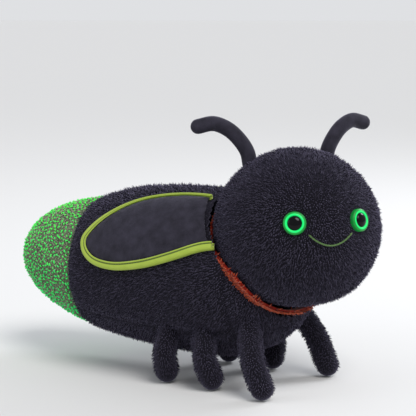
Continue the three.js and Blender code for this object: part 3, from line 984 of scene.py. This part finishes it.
# %% Strew the body's pile
body_pile_spacing = 1.55 * mm
body_lean = Vector((-0.55, 0, -0.35))
plush_tousle = 1.5
for number, (name, piece) in enumerate(panels.items()):
    if name.startswith("tail"):
        continue
    strew(piece, plush_tuft, body_pile_spacing, body_lean, plush_tousle, seed=10 * number)
    nodes = (name, "body_filling") if name == "belly_panel" else (name,)
    dress(piece, night_plush, "torso", "night_plush", *nodes)

# %% [markdown]
# ## Tail
# The tail is cut from pale bouclé with a bright green yarn in it that glows. Its loops are small
# rings, each made once from a torus and half sunk in the skin, and the yarn comes up between them
# as short dashes. The dashes are a piece of their own, so that they can have a finish of their own.

# %% One loop and one dash of yarn
loop_radius = 1.15 * mm
loop_yarn_radius = 0.5 * mm
loop_stretch = 1.2
loop_bend = 0.5 * mm
loop_height = 1.5 * mm
dash_size = (1.6 * mm, 0.64 * mm, 0.6 * mm)
dash_lift = 1.65 * mm
dash_end = 0.8 * mm
dash_droop = 0.4 * mm


def make_loop():
    bpy.ops.mesh.primitive_torus_add(
        major_segments=8, minor_segments=3, major_radius=loop_radius, minor_radius=loop_yarn_radius,
        rotation=(math.pi / 2, 0, 0))
    loop = named("loop")
    settle(loop)
    with editing(loop):
        bpy.ops.transform.resize(value=(loop_stretch, loop_stretch, 1), center_override=(0, 0, 0))
        pick(loop, lambda spot: spot.z > loop_bend)
        bpy.ops.transform.translate(value=(0, loop_bend, 0))
    remember(loop, "tip", np.clip(places(loop)[:, 2] / loop_height, 0, 1))
    return as_model(loop)


def make_dash():
    """A short bead of yarn whose ends go down into the cloth."""
    bpy.ops.mesh.primitive_uv_sphere_add(segments=6, ring_count=5, radius=1)
    dash = in_order(named("dash"))
    dash.scale = dash_size
    dash.location = (0, 0, dash_lift)
    settle(dash)
    with editing(dash):
        pick(dash, lambda spot: abs(spot.x) > dash_end)
        bpy.ops.transform.translate(value=(0, 0, -dash_droop))
    return as_model(dash)


loop = make_loop()
dash = make_dash()
print("loop of", triangles(loop), "and dash of", triangles(dash), "triangles")

# %% Strew the tail
loop_spacing = 1.9 * mm
dash_spacing = 3.3 * mm
upright = (0, 0, 0)
for number, (name, _) in enumerate(sides):
    skin = panels[f"tail_{name}"]
    yarn = twin(skin, f"tail_{name}_yarn")
    remember(yarn, "length", np.ones(len(yarn.data.vertices)))
    strew(skin, loop, loop_spacing, upright, 0.9, seed=60 + number)
    dress(skin, glow_boucle, "torso", "glow_boucle", f"tail_{name}")
    strew(yarn, dash, dash_spacing, upright, 0.5, seed=70 + number)
    remember(yarn, "skin", kept_values(yarn, "shade") <= 0)
    take_away_marked(yarn, "skin")
    dress(yarn, glow_yarn, "torso", "glow_boucle")
    print(yarn.name, "keeps", triangles(yarn), "triangles of dashes")
for model in (loop, dash):
    bpy.data.objects.remove(model)

# %% [markdown]
# ## Head
# The head is a ball in two parts, a face and a back, joined by a seam that runs over its top.
# A sphere is squeezed a little, bisected at the seam, and thickened into two skins. Subdividing a
# cube would spread the faces more evenly, but the pile hides how they lie.

# %% Places on the head
eye_azimuth = math.radians(24.5)
eye_elevation = math.radians(11.5)
ring_radius = 9.6 * mm
smile_half_angle = math.radians(14.8)
smile_end_elevation = 3.5
smile_drop = 6.8
head_turned = Matrix.Rotation(head_turn, 3, "Z")
head_forward = head_turned @ Vector((1, 0, 0))
head_seam = head_centre - head_forward * head_seam_back


def on_head(azimuth, elevation):
    """A place on the head, by its angles from straight ahead."""
    way = Vector((
        math.cos(elevation) * math.cos(azimuth),
        math.cos(elevation) * math.sin(azimuth),
        math.sin(elevation),
    ))
    level = math.hypot(way.x, way.y) / head_radius
    distance = 1 / math.hypot(level, way.z / head_half_height)
    return head_centre + head_turned @ (way * distance)


def head_facing(place):
    """The way that the head's surface faces at a place."""
    level = place - head_centre
    stretch = (head_radius / head_half_height) ** 2
    return Vector((level.x, level.y, level.z * stretch)).normalized()


def smile_at(share):
    """A place on the smile, from -1 at one end to 1 at the other."""
    elevation = math.radians(smile_end_elevation - smile_drop * (1 - share ** 2))
    return on_head(smile_half_angle * share, elevation)


eye_spots = {name: on_head(side * eye_azimuth, eye_elevation) for name, side in sides}
print("eyes at", {name: [round(c / mm, 1) for c in spot] for name, spot in eye_spots.items()})

# %% Make the head whole
pile_depth = 1.5 * mm
chin_lift = 5 * mm
chin_start = 0.65
chin_share = 0.35
batch = 4000


def lift_chin(spots, radius):
    """Flattens the underside of a ball round the head's centre, as the neck presses it."""
    level = (head_centre.z - spots[:, 2]) / radius
    return spots + np.outer(chin_lift * (np.maximum(level - chin_start, 0) / chin_share) ** 2, (0, 0, 1))


def head_seam_distances(spots):
    return np.abs(beyond((head_seam, head_forward), spots))


def nearest(spots, targets):
    """How far each place is from the nearest target, worked out a few thousand at a time."""
    targets = np.array([list(target) for target in targets])
    parts = np.array_split(spots, max(1, len(spots) // batch))
    return np.concatenate([np.linalg.norm(part[:, None] - targets, axis=2).min(1) for part in parts])


def make_head():
    bpy.ops.mesh.primitive_uv_sphere_add(segments=160, ring_count=80, radius=1)
    head = in_order(named("head"))
    wide, tall = head_radius - pile_depth, head_half_height - pile_depth
    head.scale = (wide, wide, tall)
    head.location = head_centre
    head.rotation_euler.z = head_turn
    settle(head)
    spots = places(head)
    out = outwards(spots, np.array(head_centre))
    spots -= out * (seam_depth * fade(head_seam_distances(spots), seam_width))[:, None]
    move_to(head, lift_chin(spots, tall))
    return head


head_whole = make_head()
print("head of", triangles(head_whole), "triangles")

# %% Cut the face and the back of the head
ring_overlap = 1.5 * mm
eye_halo = 3 * mm
smile_halo = 2.6 * mm
smile_spots = [smile_at(share) for share in np.linspace(-1, 1, 25)]


def mark_head_pile(piece):
    """Leaves the eye rings' places bare, and shortens the pile in the seam, at the eyes and the smile."""
    spots = places(piece)
    eyes = nearest(spots, eye_spots.values())
    remember(piece, "cover", kept_values(piece, "cover") * (eyes > ring_radius - ring_overlap))
    length = 1 - 0.45 * fade(head_seam_distances(spots), seam_width)
    length *= 1 - 0.5 * fade(np.maximum(eyes - ring_radius, 0), eye_halo)
    length *= 1 - 0.55 * fade(nearest(spots, smile_spots), smile_halo)
    remember(piece, "length", 0.85 * length)


head_parts = {}
for name, turn in (("head_face", -1), ("head_back", 1)):
    piece = cut(twin(head_whole, f"{name}_plush"), head_seam, head_forward * turn)
    modified(piece, "SOLIDIFY", thickness=skin_thickness, offset=-1)
    mark_outside(piece, head_centre, 0.45)
    mark_head_pile(piece)
    map_round(piece, head_centre, (0, 0, 1), -head_forward * turn)
    head_parts[name] = piece
bpy.data.objects.remove(head_whole)
print({name: triangles(piece) for name, piece in head_parts.items()})

# %% Strew the head's pile
pile_spacing = 1.5 * mm
head_lean = Vector((-0.35, 0.2, -0.4))
for number, (name, piece) in enumerate(head_parts.items()):
    strew(piece, plush_tuft, pile_spacing, head_lean, plush_tousle, seed=100 + 10 * number)
    nodes = (name, "head_filling") if name == "head_face" else (name,)
    dress(piece, night_plush, "head", "night_plush", *nodes)

# %% [markdown]
# ## Limbs
# A leg is a narrow tube of the same plush, stuffed and rounded at its end. A curve with a round
# bevel would end flat, so a sphere pulled out straight makes the tube. Remesh spreads its faces
# evenly, and a Curve modifier bends it from hip to foot.

# %% Bend a stuffed tube along a path
def make_guide(path):
    data = bpy.data.curves.new("guide", "CURVE")
    data.dimensions = "3D"
    spline = data.splines.new("POLY")
    spline.points.add(len(path) - 1)
    for point, place in zip(spline.points, path):
        point.co = (*place, 1)
    guide = bpy.data.objects.new("guide", data)
    bpy.context.scene.collection.objects.link(guide)
    return guide


def make_tube(name, points, radius, tip_radius, root):
    """A stuffed tube that starts before the first point and ends in a round tip past the last."""
    path = smooth_path(points)
    start = path[0] - (path[1] - path[0]) / np.linalg.norm(path[1] - path[0]) * root
    path = np.vstack([start, path])
    length = np.linalg.norm(np.diff(path, axis=0), axis=1).sum()
    guide = make_guide(path)
    bpy.ops.mesh.primitive_uv_sphere_add(segments=32, ring_count=17, radius=radius)
    tube = named(name)
    with editing(tube):
        pick(tube, lambda spot: spot.z > 0)
        bpy.ops.transform.resize(value=(tip_radius / radius,) * 3, center_override=(0, 0, 0))
        bpy.ops.transform.translate(value=(0, 0, length))
    modified(tube, "REMESH", mode="VOXEL", voxel_size=radius / 6)
    modified(tube, "SMOOTH", iterations=4)
    modified(tube, "CURVE", object=guide, deform_axis="POS_Z")
    bpy.data.objects.remove(guide)
    return tube


print("tube helper ready")

# %% Make the legs
leg_row_shares = {
    "front": (0.68, 0.914, 0.735), "middle": (0.258, 0.312, 0.667), "rear": (-0.14, -0.215, 0.667)}
leg_radius = 11 * mm
leg_root = 6 * mm
leg_bend = 8 * mm
leg_lean = Vector((0, 0, -0.7))
hip_angle = math.radians(132)
hip_depth = 2.4 * mm
knee_bulge = 5.5 * mm
foot_radius = 11.6 * mm
foot_height = 10.7 * mm
sole_height = 0.4 * mm
bare_height = 4 * mm
short_pile_height = 12 * mm


def make_leg(name, side, hip_share, foot_share, side_share):
    hip = on_body(hip_share * body_front_length, hip_angle, -hip_depth, side)
    foot = np.array([
        body_centre.x + foot_share * body_front_length,
        body_centre.y + side * side_share * body_radius,
        foot_height])
    knee = (hip + foot) / 2 + np.array([0, side * knee_bulge, 0])
    leg = make_tube(name, (hip, knee, foot), leg_radius - pile_depth, foot_radius - pile_depth, leg_root)
    spots = places(leg)
    spots[:, 2] = np.maximum(spots[:, 2], sole_height)
    move_to(leg, spots)
    remember(leg, "cover", (facings(leg)[:, 2] > -0.8) | (spots[:, 2] > bare_height))
    remember(leg, "length", 0.7 * np.clip(spots[:, 2] / short_pile_height, 0.3, 1))
    map_round(leg, foot, (0, 0, 1), (0, side, 0))
    return leg


for number, (row, shares) in enumerate(leg_row_shares.items()):
    for name, side in sides:
        node = f"leg_{row}_{name}"
        leg = make_leg(f"{node}_plush", side, *shares)
        strew(leg, plush_tuft, pile_spacing, leg_lean, 1.3, seed=200 + 10 * number + side)
        dress_limb(leg, night_plush, "torso", "night_plush", node, f"{node}_swing", leg_bend, -leg_bend)

# %% Make the antennae
antenna_shares = ((0, 0), (0.05, 0.3), (0.2, 0.6), (0.42, 0.86), (0.7, 1), (1, 0.93))
antenna_radius = 6.7 * mm
antenna_root = 5 * mm
antenna_back = 20.5 * mm
antenna_aside = 36 * mm
antenna_depth = 2.4 * mm
antenna_sweep = math.radians(19)
antenna_spread = 45 * mm
antenna_rise = 35.4 * mm


def antenna_path(side):
    """Places from the antenna's seam on the head to its tip, out to one side and up."""
    level = math.hypot(antenna_aside, antenna_back) / head_radius
    height = head_half_height * math.sqrt(1 - level ** 2) - antenna_depth
    base = Vector((-antenna_back, side * antenna_aside, height))
    out = Vector((-math.sin(antenna_sweep), side * math.cos(antenna_sweep), 0)) * antenna_spread
    rise = Vector((0, 0, antenna_rise))
    return [head_centre + head_turned @ (base + out * along + rise * up) for along, up in antenna_shares]


for name, side in sides:
    node = f"antenna_{name}"
    antenna = make_tube(f"{node}_velour", antenna_path(side), antenna_radius, antenna_radius, antenna_root)
    dress_limb(smoothed(antenna), velour, "head", "velour", node, f"{node}_flex", -3 * mm, 9 * mm)
    print(antenna.name, "has", triangles(antenna), "triangles")

# %% [markdown]
# ## Eyes
# Each eye is a safety eye: a glossy dome on a ridged shank that goes through a glow ring and the
# plush, and is locked behind by a washer. A Screw modifier could turn such round pieces. Here a
# circle is extruded and resized from ring to ring instead, which shows every step of the outline.

# %% Turn round pieces from a circle
def make_turned(name, profile, corners=64):
    """A round piece about Z from pairs of radius and height, closed where it ends at the axis."""
    (radius, height), *rest = profile
    bpy.ops.mesh.primitive_circle_add(vertices=corners, radius=radius, location=(0, 0, height))
    piece = named(name)
    settle(piece)
    with editing(piece):
        for wider, higher in rest:
            share = wider / radius
            bpy.ops.mesh.extrude_region_move(
                TRANSFORM_OT_translate={"value": (0, 0, higher - height)})
            bpy.ops.transform.resize(value=(share, share, 1), center_override=(0, 0, higher))
            radius, height = wider, higher
        bpy.ops.mesh.select_all(action="SELECT")
        bpy.ops.mesh.remove_doubles(threshold=1e-6)
        bpy.ops.mesh.normals_make_consistent(inside=False)
    return in_order(piece)


def set_in_face(piece, spot):
    """Turns a piece from Z to the way that the head faces at a spot, and puts it there."""
    turn = head_facing(spot).to_track_quat("Z", "Y").to_matrix().to_4x4()
    piece.data.transform(Matrix.Translation(spot) @ turn)
    only(piece)
    bpy.ops.object.shade_smooth_by_angle(angle=math.radians(50))
    return piece


print("lathe helpers ready")

# %% Make the eyes and their rings
ring_foot = -2.4
ring_hole = 6.1
lip_radius = 7.9 * mm
shank_radius = 2.1
shank_end = -15
ridge_height = 0.4
ridge_step = 0.8
nearly_zero = 0.001
ring_outline = (
    (9.6, ring_foot), (9.6, 0.7), (9.45, 1.15), (9.1, 1.55), (8.6, 1.85), (8.15, 1.92), (7.85, 1.8),
    (7.6, 1.92), (7.2, 2.05), (6.7, 2.02), (6.3, 1.75), (6.12, 1.3), (ring_hole, ring_foot),
    (9.6, ring_foot))
shank_ridges = [(shank_radius + ridge_height * (n % 2), -14.8 + ridge_step * n) for n in range(17)]
dome_outline = (
    (nearly_zero, shank_end), (1.7, shank_end), *shank_ridges, (shank_radius, 0.0), (6.0, 0.9),
    (6.02, 1.3), (5.85, 1.75), (5.4, 2.25), (4.6, 2.75), (3.5, 3.15), (2.2, 3.4), (1.0, 3.5),
    (nearly_zero, 3.52))
ring_profile, dome_profile = (
    [(radius * mm, height * mm) for radius, height in outline] for outline in (ring_outline, dome_outline))
eye_pieces = {}
for name, spot in eye_spots.items():
    ring = make_turned(f"eye_ring_{name}_moulding", ring_profile)
    remember(ring, "tone", np.hypot(*places(ring)[:, :2].T) < lip_radius)
    dome = make_turned(f"eye_{name}_dome", dome_profile)
    eye_pieces[name] = (set_in_face(ring, spot), set_in_face(dome, spot))
print({name: [triangles(piece) for piece in pair] for name, pair in eye_pieces.items()})

# %% Glow plastic and black plastic
def make_glow_plastic():
    """Two greens: the inner lip glows bright, and the ring outside it is darker."""
    finish = Finish("glow_plastic", roughness=0.38, specular_ior_level=0.3, coat_weight=0.1,
                    coat_roughness=0.2)
    tone = finish.kept("tone")
    cloud = finish.noise(2.2 * mm, detail=3)
    shade = finish.blend(tone, paint(0.002, 0.15, 0.015), paint(0.002, 0.55, 0.11))
    finish.colour(finish.between(cloud, 0.2, 1.6), shade, paint(0.01, 0.4, 0.07))
    finish.glow(finish.blend(tone, paint(0, 0.09, 0.01), paint(0.002, 0.50, 0.11)), 0.8)
    finish.bump(finish.noise(0.5 * mm), 0.04 * mm)
    return finish.material


def make_black_plastic():
    finish = Finish("black_plastic", specular_ior_level=0.18)
    cloud = finish.noise(1.6 * mm, detail=3)
    finish.colour(cloud, paint(0.001, 0.001, 0.001), paint(0.003, 0.003, 0.004))
    finish.grain(cloud, 0.06, 0.06, 0.01 * mm)
    return finish.material


glow_plastic = make_glow_plastic()
black_plastic = make_black_plastic()
for name, (ring, dome) in eye_pieces.items():
    dress(ring, glow_plastic, "head", "glow_plastic", f"eye_ring_{name}")
    dress(dome, black_plastic, "head", "black_plastic", f"eye_{name}")
print([plastic.name for plastic in (glow_plastic, black_plastic)])

# %% [markdown]
# ## Wings
# A wing is a flat pad of velour, bound with a glow ribbon, that lies on the body. It could be
# modelled in place, but it is easier to shape flat, as it is sewn: a thin slab is blown up as cloth,
# which fills it as wadding does, while its edge is held. Then every point is laid onto the body's
# round side.

# %% Where a wing meets the head
head_room = 79 * mm
wing_rest = 2.9 * mm
pad_inset = 3.2 * mm
root_gap = 1.5 * mm


def lay_wing(spots, side):
    """Lays flat places, along and up the wing and out of it, onto the body's side."""
    angle = wing_lower_angle - spots[:, 1] / body_radius
    return on_body(spots[:, 0] - wing_tip_back, angle, wing_rest + spots[:, 2], side)


def head_gap(spots):
    """How far outside the head's room each flat place ends up."""
    return np.linalg.norm(lay_wing(spots, 1) - np.array(head_centre), axis=1) - head_room


def root_reach(heights):
    """How far along the wing each height goes before it meets the head's room."""
    alongs = np.linspace(0.5, 1.1, 241) * wing_size[0]
    grid = np.array([(along, height, 0) for height in heights for along in alongs])
    met = head_gap(grid).reshape(len(heights), -1) < 0
    return np.where(met.any(1), alongs[met.argmax(1)], alongs[-1])


def inwards(outline):
    """The way into the wing, level with it, at each place of its outline."""
    along = np.roll(outline, -1, axis=0) - np.roll(outline, 1, axis=0)
    along /= np.linalg.norm(along, axis=1)[:, None]
    turned = np.stack([along[:, 1], -along[:, 0]], axis=1)
    middle = outline.mean(0)
    flip = np.sign(((middle - outline) * turned).sum(1).sum())
    return turned * flip


outline_run = np.cumsum(np.linalg.norm(np.roll(wing_outline, -1, axis=0) - wing_outline, axis=1))
wing_inwards = inwards(wing_outline)
band_shares = np.interp(wing_outline[:, 1] / wing_size[1], (0.35, 0.9), (1, 0.48))
pad_edge = wing_outline + wing_inwards * (pad_inset * band_shares)[:, None]
pad_edge[:, 0] = np.minimum(pad_edge[:, 0], root_reach(pad_edge[:, 1]) - root_gap)
print("the pad ends", round(float(pad_edge[:, 0].max()) / mm, 1), "mm from the wing's tip")

# %% Blow up a pad as cloth
pad_pressure = 30
cloth_frames = 20
most_travel = 4 * mm


def blow_up(pad, held):
    """Presses a pad's skin out as its filling does, while its edge is held."""
    start = places(pad)
    pad.vertex_groups.new(name="edge").add([int(n) for n in np.flatnonzero(held)], 1, "ADD")
    only(pad)
    cloth = pad.modifiers.new("cloth", "CLOTH")
    cloth.settings.use_pressure = True
    cloth.settings.uniform_pressure_force = pad_pressure
    cloth.settings.vertex_group_mass = "edge"
    cloth.settings.effector_weights.gravity = 0
    cloth.point_cache.frame_end = cloth_frames
    for number in range(1, cloth_frames + 1):
        bpy.context.scene.frame_set(number)
    bpy.ops.object.modifier_apply(modifier=cloth.name)
    moved = places(pad) - start
    travel = np.linalg.norm(moved, axis=1).clip(1e-9)
    move_to(pad, start + moved * np.minimum(1, most_travel / travel)[:, None])
    print("the pad's skin moves", round(float(np.median(travel)) / mm, 2), "mm, at most",
          round(float(travel.max()) / mm, 2), "mm")


print("cloth helper ready")

# %% Make the pad
slab_thickness = 4 * mm
held_width = 2.5 * mm
edge_share = 0.4
edge_slope = 6 * mm
pucker_length = 7.5 * mm
pucker_share = 0.22
pucker_reach = 7 * mm
pad_floor = -2.3 * mm


def puckers(spots):
    """From 0 to 1 and back along the wing's edge, where the ribbon's seam draws in the cloth."""
    way, _ = round_wing(wing_outline)
    order = np.argsort(way)
    run = np.interp(round_wing(spots)[0], way[order], outline_run[order])
    return 0.5 + 0.5 * np.sin(run * (2 * math.pi / pucker_length))


def make_pad():
    count = len(pad_edge)
    bpy.ops.mesh.primitive_circle_add(vertices=count, fill_type="NGON")
    pad = named("pad")
    move_to(pad, np.column_stack([pad_edge, np.full(count, -slab_thickness / 2)]))
    with editing(pad):
        bpy.ops.mesh.extrude_region_move(TRANSFORM_OT_translate={"value": (0, 0, slab_thickness)})
        bpy.ops.mesh.select_all(action="SELECT")
        bpy.ops.mesh.normals_make_consistent(inside=False)
    modified(pad, "REMESH", mode="VOXEL", voxel_size=2.8 * mm)
    modified(pad, "SMOOTH", iterations=2)
    blow_up(pad, nearest(places(pad)[:, :2], pad_edge) < held_width)
    modified(pad, "SUBSURF", levels=1)
    spots = places(pad)
    depth = nearest(spots[:, :2], pad_edge)
    spots[:, 2] *= edge_share + (1 - edge_share) * np.clip(depth / edge_slope, 0, 1)
    spots[:, 2] *= 1 - pucker_share * puckers(spots[:, :2]) * fade(depth, pucker_reach)
    spots[:, 2] = np.maximum(spots[:, 2], pad_floor)
    move_to(pad, spots)
    return pad


flat_pad = make_pad()
print("pad of", triangles(flat_pad), "triangles,", round(flat_pad.dimensions.z / mm, 1), "mm thick")

# %% Make the ribbon that binds the pad's edge
groove_across = 5.3 * mm
groove_height = 2.6 * mm
ribbon_outline = (
    (7.3, 2.3), (7.0, 3.05), (6.4, 3.35), (5.8, 3.1), (5.45, 2.55), (5.2, 2.45), (4.9, 2.85), (4.0, 3.3),
    (2.6, 3.4), (1.2, 3.0), (0.3, 2.0), (0, 0.6), (0, -0.6), (0.3, -1.9), (1.2, -2.5), (3.0, -2.6),
    (5.5, -2.6), (7.0, -2.5), (7.2, -2.0), (5.5, -1.7), (2.4, -1.2), (1.6, 0), (2.4, 1.3), (5.4, 1.9))


def on_band(across, height):
    """Flat places all round the wing: so far in from its edge, and so high, where the band is full."""
    into = wing_inwards * (across * band_shares)[:, None]
    return np.column_stack([wing_outline + into, height * (0.5 + 0.5 * band_shares)])


def make_ribbon():
    count = len(wing_outline)
    bpy.ops.mesh.primitive_torus_add(
        major_segments=count, minor_segments=len(ribbon_outline), major_radius=1, minor_radius=0.1)
    ribbon = named("ribbon")
    profile = np.array(ribbon_outline) * mm
    spots = np.stack([on_band(across, height) for across, height in profile], axis=1)
    move_to(ribbon, spots.reshape(-1, 3))
    remember(ribbon, "run", np.repeat(outline_run, len(profile)))
    remember(ribbon, "across", np.tile(profile[:, 0], count))
    remember(ribbon, "cut", np.repeat(head_gap(on_band(0, 0)) < 0, len(profile)))
    take_away_marked(ribbon, "cut")
    with editing(ribbon):
        bpy.ops.mesh.fill_holes(sides=0)
        bpy.ops.mesh.normals_make_consistent(inside=False)
    return ribbon


flat_ribbon = make_ribbon()
print("ribbon of", triangles(flat_ribbon), "triangles")

# %% Sew a row of stitches
stitch_margin = 2 * mm
stitch_pitch = 3.1 * mm


def sew(name, spots, ahead, up, shape):
    """Stitches of one shape at places, each along the way to the place ahead of it."""
    stitches = []
    for spot, next_spot, facing in zip(spots, ahead, up):
        bpy.ops.mesh.primitive_uv_sphere_add(segments=8, ring_count=6, radius=1)
        stitch = in_order(named("stitch"))
        along = (Vector(next_spot) - Vector(spot)).normalized()
        side = Vector(facing).cross(along).normalized()
        turn = Matrix((along, side, along.cross(side))).transposed().to_4x4()
        stitch.data.transform(Matrix.Translation(spot) @ turn @ Matrix.Diagonal((*shape, 1)))
        stitches.append(stitch)
    bpy.ops.object.select_all(action="DESELECT")
    for stitch in stitches:
        stitch.select_set(True)
    bpy.context.view_layer.objects.active = stitches[0]
    bpy.ops.object.join()
    return smoothed(named(name))


def sew_ribbon():
    line = on_band(groove_across, groove_height)
    steps = np.arange(stitch_margin, outline_run[-1] - stitch_margin, stitch_pitch)
    spots, ahead = (
        np.column_stack([np.interp(run, outline_run, line[:, axis]) for axis in range(3)])
        for run in (steps, steps + mm))
    kept = head_gap(spots) > stitch_margin
    up = np.tile([0, 0, 1], (kept.sum(), 1))
    return sew("ribbon_stitches", spots[kept], ahead[kept], up, (1.1 * mm, 0.32 * mm, 0.3 * mm))


flat_stitches = sew_ribbon()
print("stitches of", triangles(flat_stitches), "triangles")

# %% Ribbon and thread
rib_width = 1.1 * mm


def make_glow_ribbon():
    """Ribbed ribbon: fine cords across it, painted shade along its sewn groove, and a faint glow beside it.
    """
    finish = Finish("glow_ribbon", sheen_weight=0.35, sheen_roughness=0.3, sheen_tint=paint(1, 1, 0.75),
                    specular_ior_level=0.3)
    turn = finish.kept("run") * (2 * math.pi / rib_width)
    rib = finish.node("ShaderNodeMath", {"operation": "SINE"}, {0: turn})
    aside = finish.kept("across") - groove_across
    off_groove = finish.node("ShaderNodeMath", {"operation": "ABSOLUTE"}, {0: aside})
    open_share = finish.between(off_groove, 0.1 * mm, 0.9 * mm)
    cloud = finish.noise(12 * mm, detail=3)
    shade = finish.blend(cloud, paint(0.24, 0.33, 0.028), paint(0.36, 0.44, 0.07))
    # Dark in the groove as painted shade, where the glow stops too
    finish.colour(open_share, paint(0.05, 0.07, 0.01), shade)
    finish.set("Roughness", 0.5 + 0.15 * cloud)
    finish.glow(finish.blend(open_share, paint(0, 0, 0), paint(0.10, 0.17, 0.012)), 0.35)
    finish.bump(0.5 + 0.5 * rib, 0.12 * mm, 0.8)
    return finish.material


def make_thread():
    finish = Finish("thread", sheen_weight=0.3, sheen_tint=paint(0.8, 1, 0.6))
    twist = finish.noise(0.6 * mm)
    finish.colour(twist, paint(0.028, 0.075, 0.012), paint(0.08, 0.18, 0.035))
    finish.grain(twist, 0.5, 0.25, 0.15 * mm)
    return finish.material


glow_ribbon = make_glow_ribbon()
thread = make_thread()
print([cloth.name for cloth in (glow_ribbon, thread)])

# %% Lay the wings on the body
wing_models = (
    ("pad", flat_pad, velour, "velour", ("upper", "under", "wadding")),
    ("binding", flat_ribbon, glow_ribbon, "glow_ribbon", ("ribbon",)),
    ("stitches", flat_stitches, thread, "thread", ()))
for name, side in sides:
    for part, model, cloth, slot, nodes in wing_models:
        piece = twin(model, f"wing_{name}_{part}")
        move_to(piece, lay_wing(places(piece), side))
        with editing(piece):
            bpy.ops.mesh.normals_make_consistent(inside=False)
        dress(smoothed(piece), cloth, f"wing_{name}", slot, *[f"wing_{node}_{name}" for node in nodes])
        part == "pad"
        print(piece.name, "has", triangles(piece), "triangles")
for _, model, *_ in wing_models:
    bpy.data.objects.remove(model)

# %% [markdown]
# ## Smile and collar
# The smile is a row of stitches in olive thread. The collar is a ring of orange plush that turns
# with the neck, in the hollow of the body, and a band of the same plush stands on the body's rim
# under the chin. Both are cut from balls round the head's centre, so that they follow its curve.

# %% Sew the smile
smile_stitch_lift = 1.4 * mm
smile_shares = np.linspace(-0.96, 0.96, 15)


def over_smile(share, ahead=0.0):
    """A place just over the smile's line, or a little further along it."""
    return smile_at(share + ahead) + head_facing(smile_at(share)) * smile_stitch_lift


smile_places = [over_smile(share) for share in smile_shares]
smile_ahead = [over_smile(share, 0.02) for share in smile_shares]
smile_up = [head_facing(spot) for spot in smile_places]
smile = sew("smile_stitches", smile_places, smile_ahead, smile_up, (2.1 * mm, 0.8 * mm, 0.75 * mm))
dress(smile, thread, "head", "thread", "smile_stitch")
print("smile of", len(smile_shares), "stitches")

# %% Cut the collar from a ball
collar_shell = head_radius + 2.8 * mm
collar_radius = 48.5 * mm
collar_hole = 27 * mm
collar_thickness = 2 * mm
collar_pile_reach = 6 * mm


def backwards(degrees):
    """The way that points back and so many degrees down."""
    slope = math.radians(degrees)
    return Vector((-math.cos(slope), 0, -math.sin(slope)))


def make_shell(name, radius, way):
    """A ball round the head's centre whose rings lie square to a way."""
    bpy.ops.mesh.primitive_uv_sphere_add(segments=160, ring_count=140, radius=radius)
    shell = in_order(named(name))
    turn = way.to_track_quat("Z", "Y").to_matrix().to_4x4()
    shell.data.transform(Matrix.Translation(head_centre) @ turn)
    return shell


def ring_centre(radius):
    """The middle of the ring of that radius that goes round the neck on the collar's ball."""
    return head_centre + neck_way * math.sqrt(collar_shell ** 2 - radius ** 2)


def finish_band(band, shell, thickness, length):
    """Thickens a band, lifts it with the chin, and marks where pile grows: on all but the side next to the
    head.
    """
    modified(band, "SOLIDIFY", thickness=thickness, offset=-1)
    move_to(band, lift_chin(places(band), shell))
    mark_outside(band, head_centre, -0.3)
    remember(band, "length", np.full(len(band.data.vertices), length))


def make_collar():
    collar = make_shell("collar_plush", collar_shell, neck_way)
    cut(collar, ring_centre(collar_radius), -neck_way)
    cut(collar, ring_centre(collar_hole), neck_way)
    finish_band(collar, collar_shell, collar_thickness, 0.7)
    level = beyond((ring_centre(collar_radius), neck_way), places(collar))
    remember(collar, "cover", kept_values(collar, "cover") * (level < collar_pile_reach))
    return collar


neck_way = backwards(28)
collar = make_collar()
print("collar of", triangles(collar), "triangles")

# %% Cut the ruff, and strew both bands
ruff_way = backwards(35)
ruff_shell = head_radius + 4.6 * mm
ruff_front = 39 * mm
ruff_thickness = 2.9 * mm
ruff_root = 7 * mm
ruff_back_shift = 4 * mm
ruff_back_way = Vector((0.7, 0, 1))
ruff_low, ruff_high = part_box("collar_ruff")
band_spacing = 1.2 * mm


def in_body(spot):
    """Whether a place lies deeper in the body than the ruff's root."""
    across = math.hypot(spot.y - body_centre.y, spot.z - body_centre.z)
    return across < radius_at(spot.x - body_centre.x) - ruff_root


def make_ruff():
    ruff = make_shell("collar_ruff_plush", ruff_shell, ruff_way)
    cut(ruff, head_centre + ruff_way * ruff_front, -ruff_way)
    cut(ruff, Vector((ruff_low.x + ruff_back_shift, 0, ruff_high.z)), ruff_back_way)
    take_away(ruff, in_body)
    finish_band(ruff, ruff_shell, ruff_thickness, 1.05)
    return ruff


bands = (
    (300, collar, "neck", "collar", -neck_way * 1.5),
    (310, make_ruff(), "torso", "collar_ruff", -ruff_way * 1.2))
for seed, piece, body, node, lean in bands:
    map_round(piece, head_centre, ruff_way, (0, 1, 0))
    strew(piece, plush_tuft, band_spacing, lean, 1.2, seed=seed)
    dress(piece, orange_plush, body, "orange_plush", node)
bpy.data.objects.remove(plush_tuft)

# %% [markdown]
# ## Washers
# The washers that lock the eyes are inside the head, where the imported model's own shape is enough.
# Only their plastic is still to come.

# %% Finish the washers
def make_washer_plastic():
    finish = Finish("washer_plastic")
    cloud = finish.noise(3 * mm, detail=3)
    finish.colour(cloud, paint(0.62, 0.61, 0.57), paint(0.74, 0.73, 0.69))
    finish.set("Roughness", 0.35 + 0.15 * cloud)
    finish.bump(finish.noise(0.6 * mm), 0.03 * mm)
    return finish.material


washer_plastic = make_washer_plastic()
for name, _ in sides:
    washer = bpy.data.objects[f"eye_washer_{name}"]
    for place in washer.material_slots:
        place.material = washer_plastic
print("washers in", washer_plastic.name)
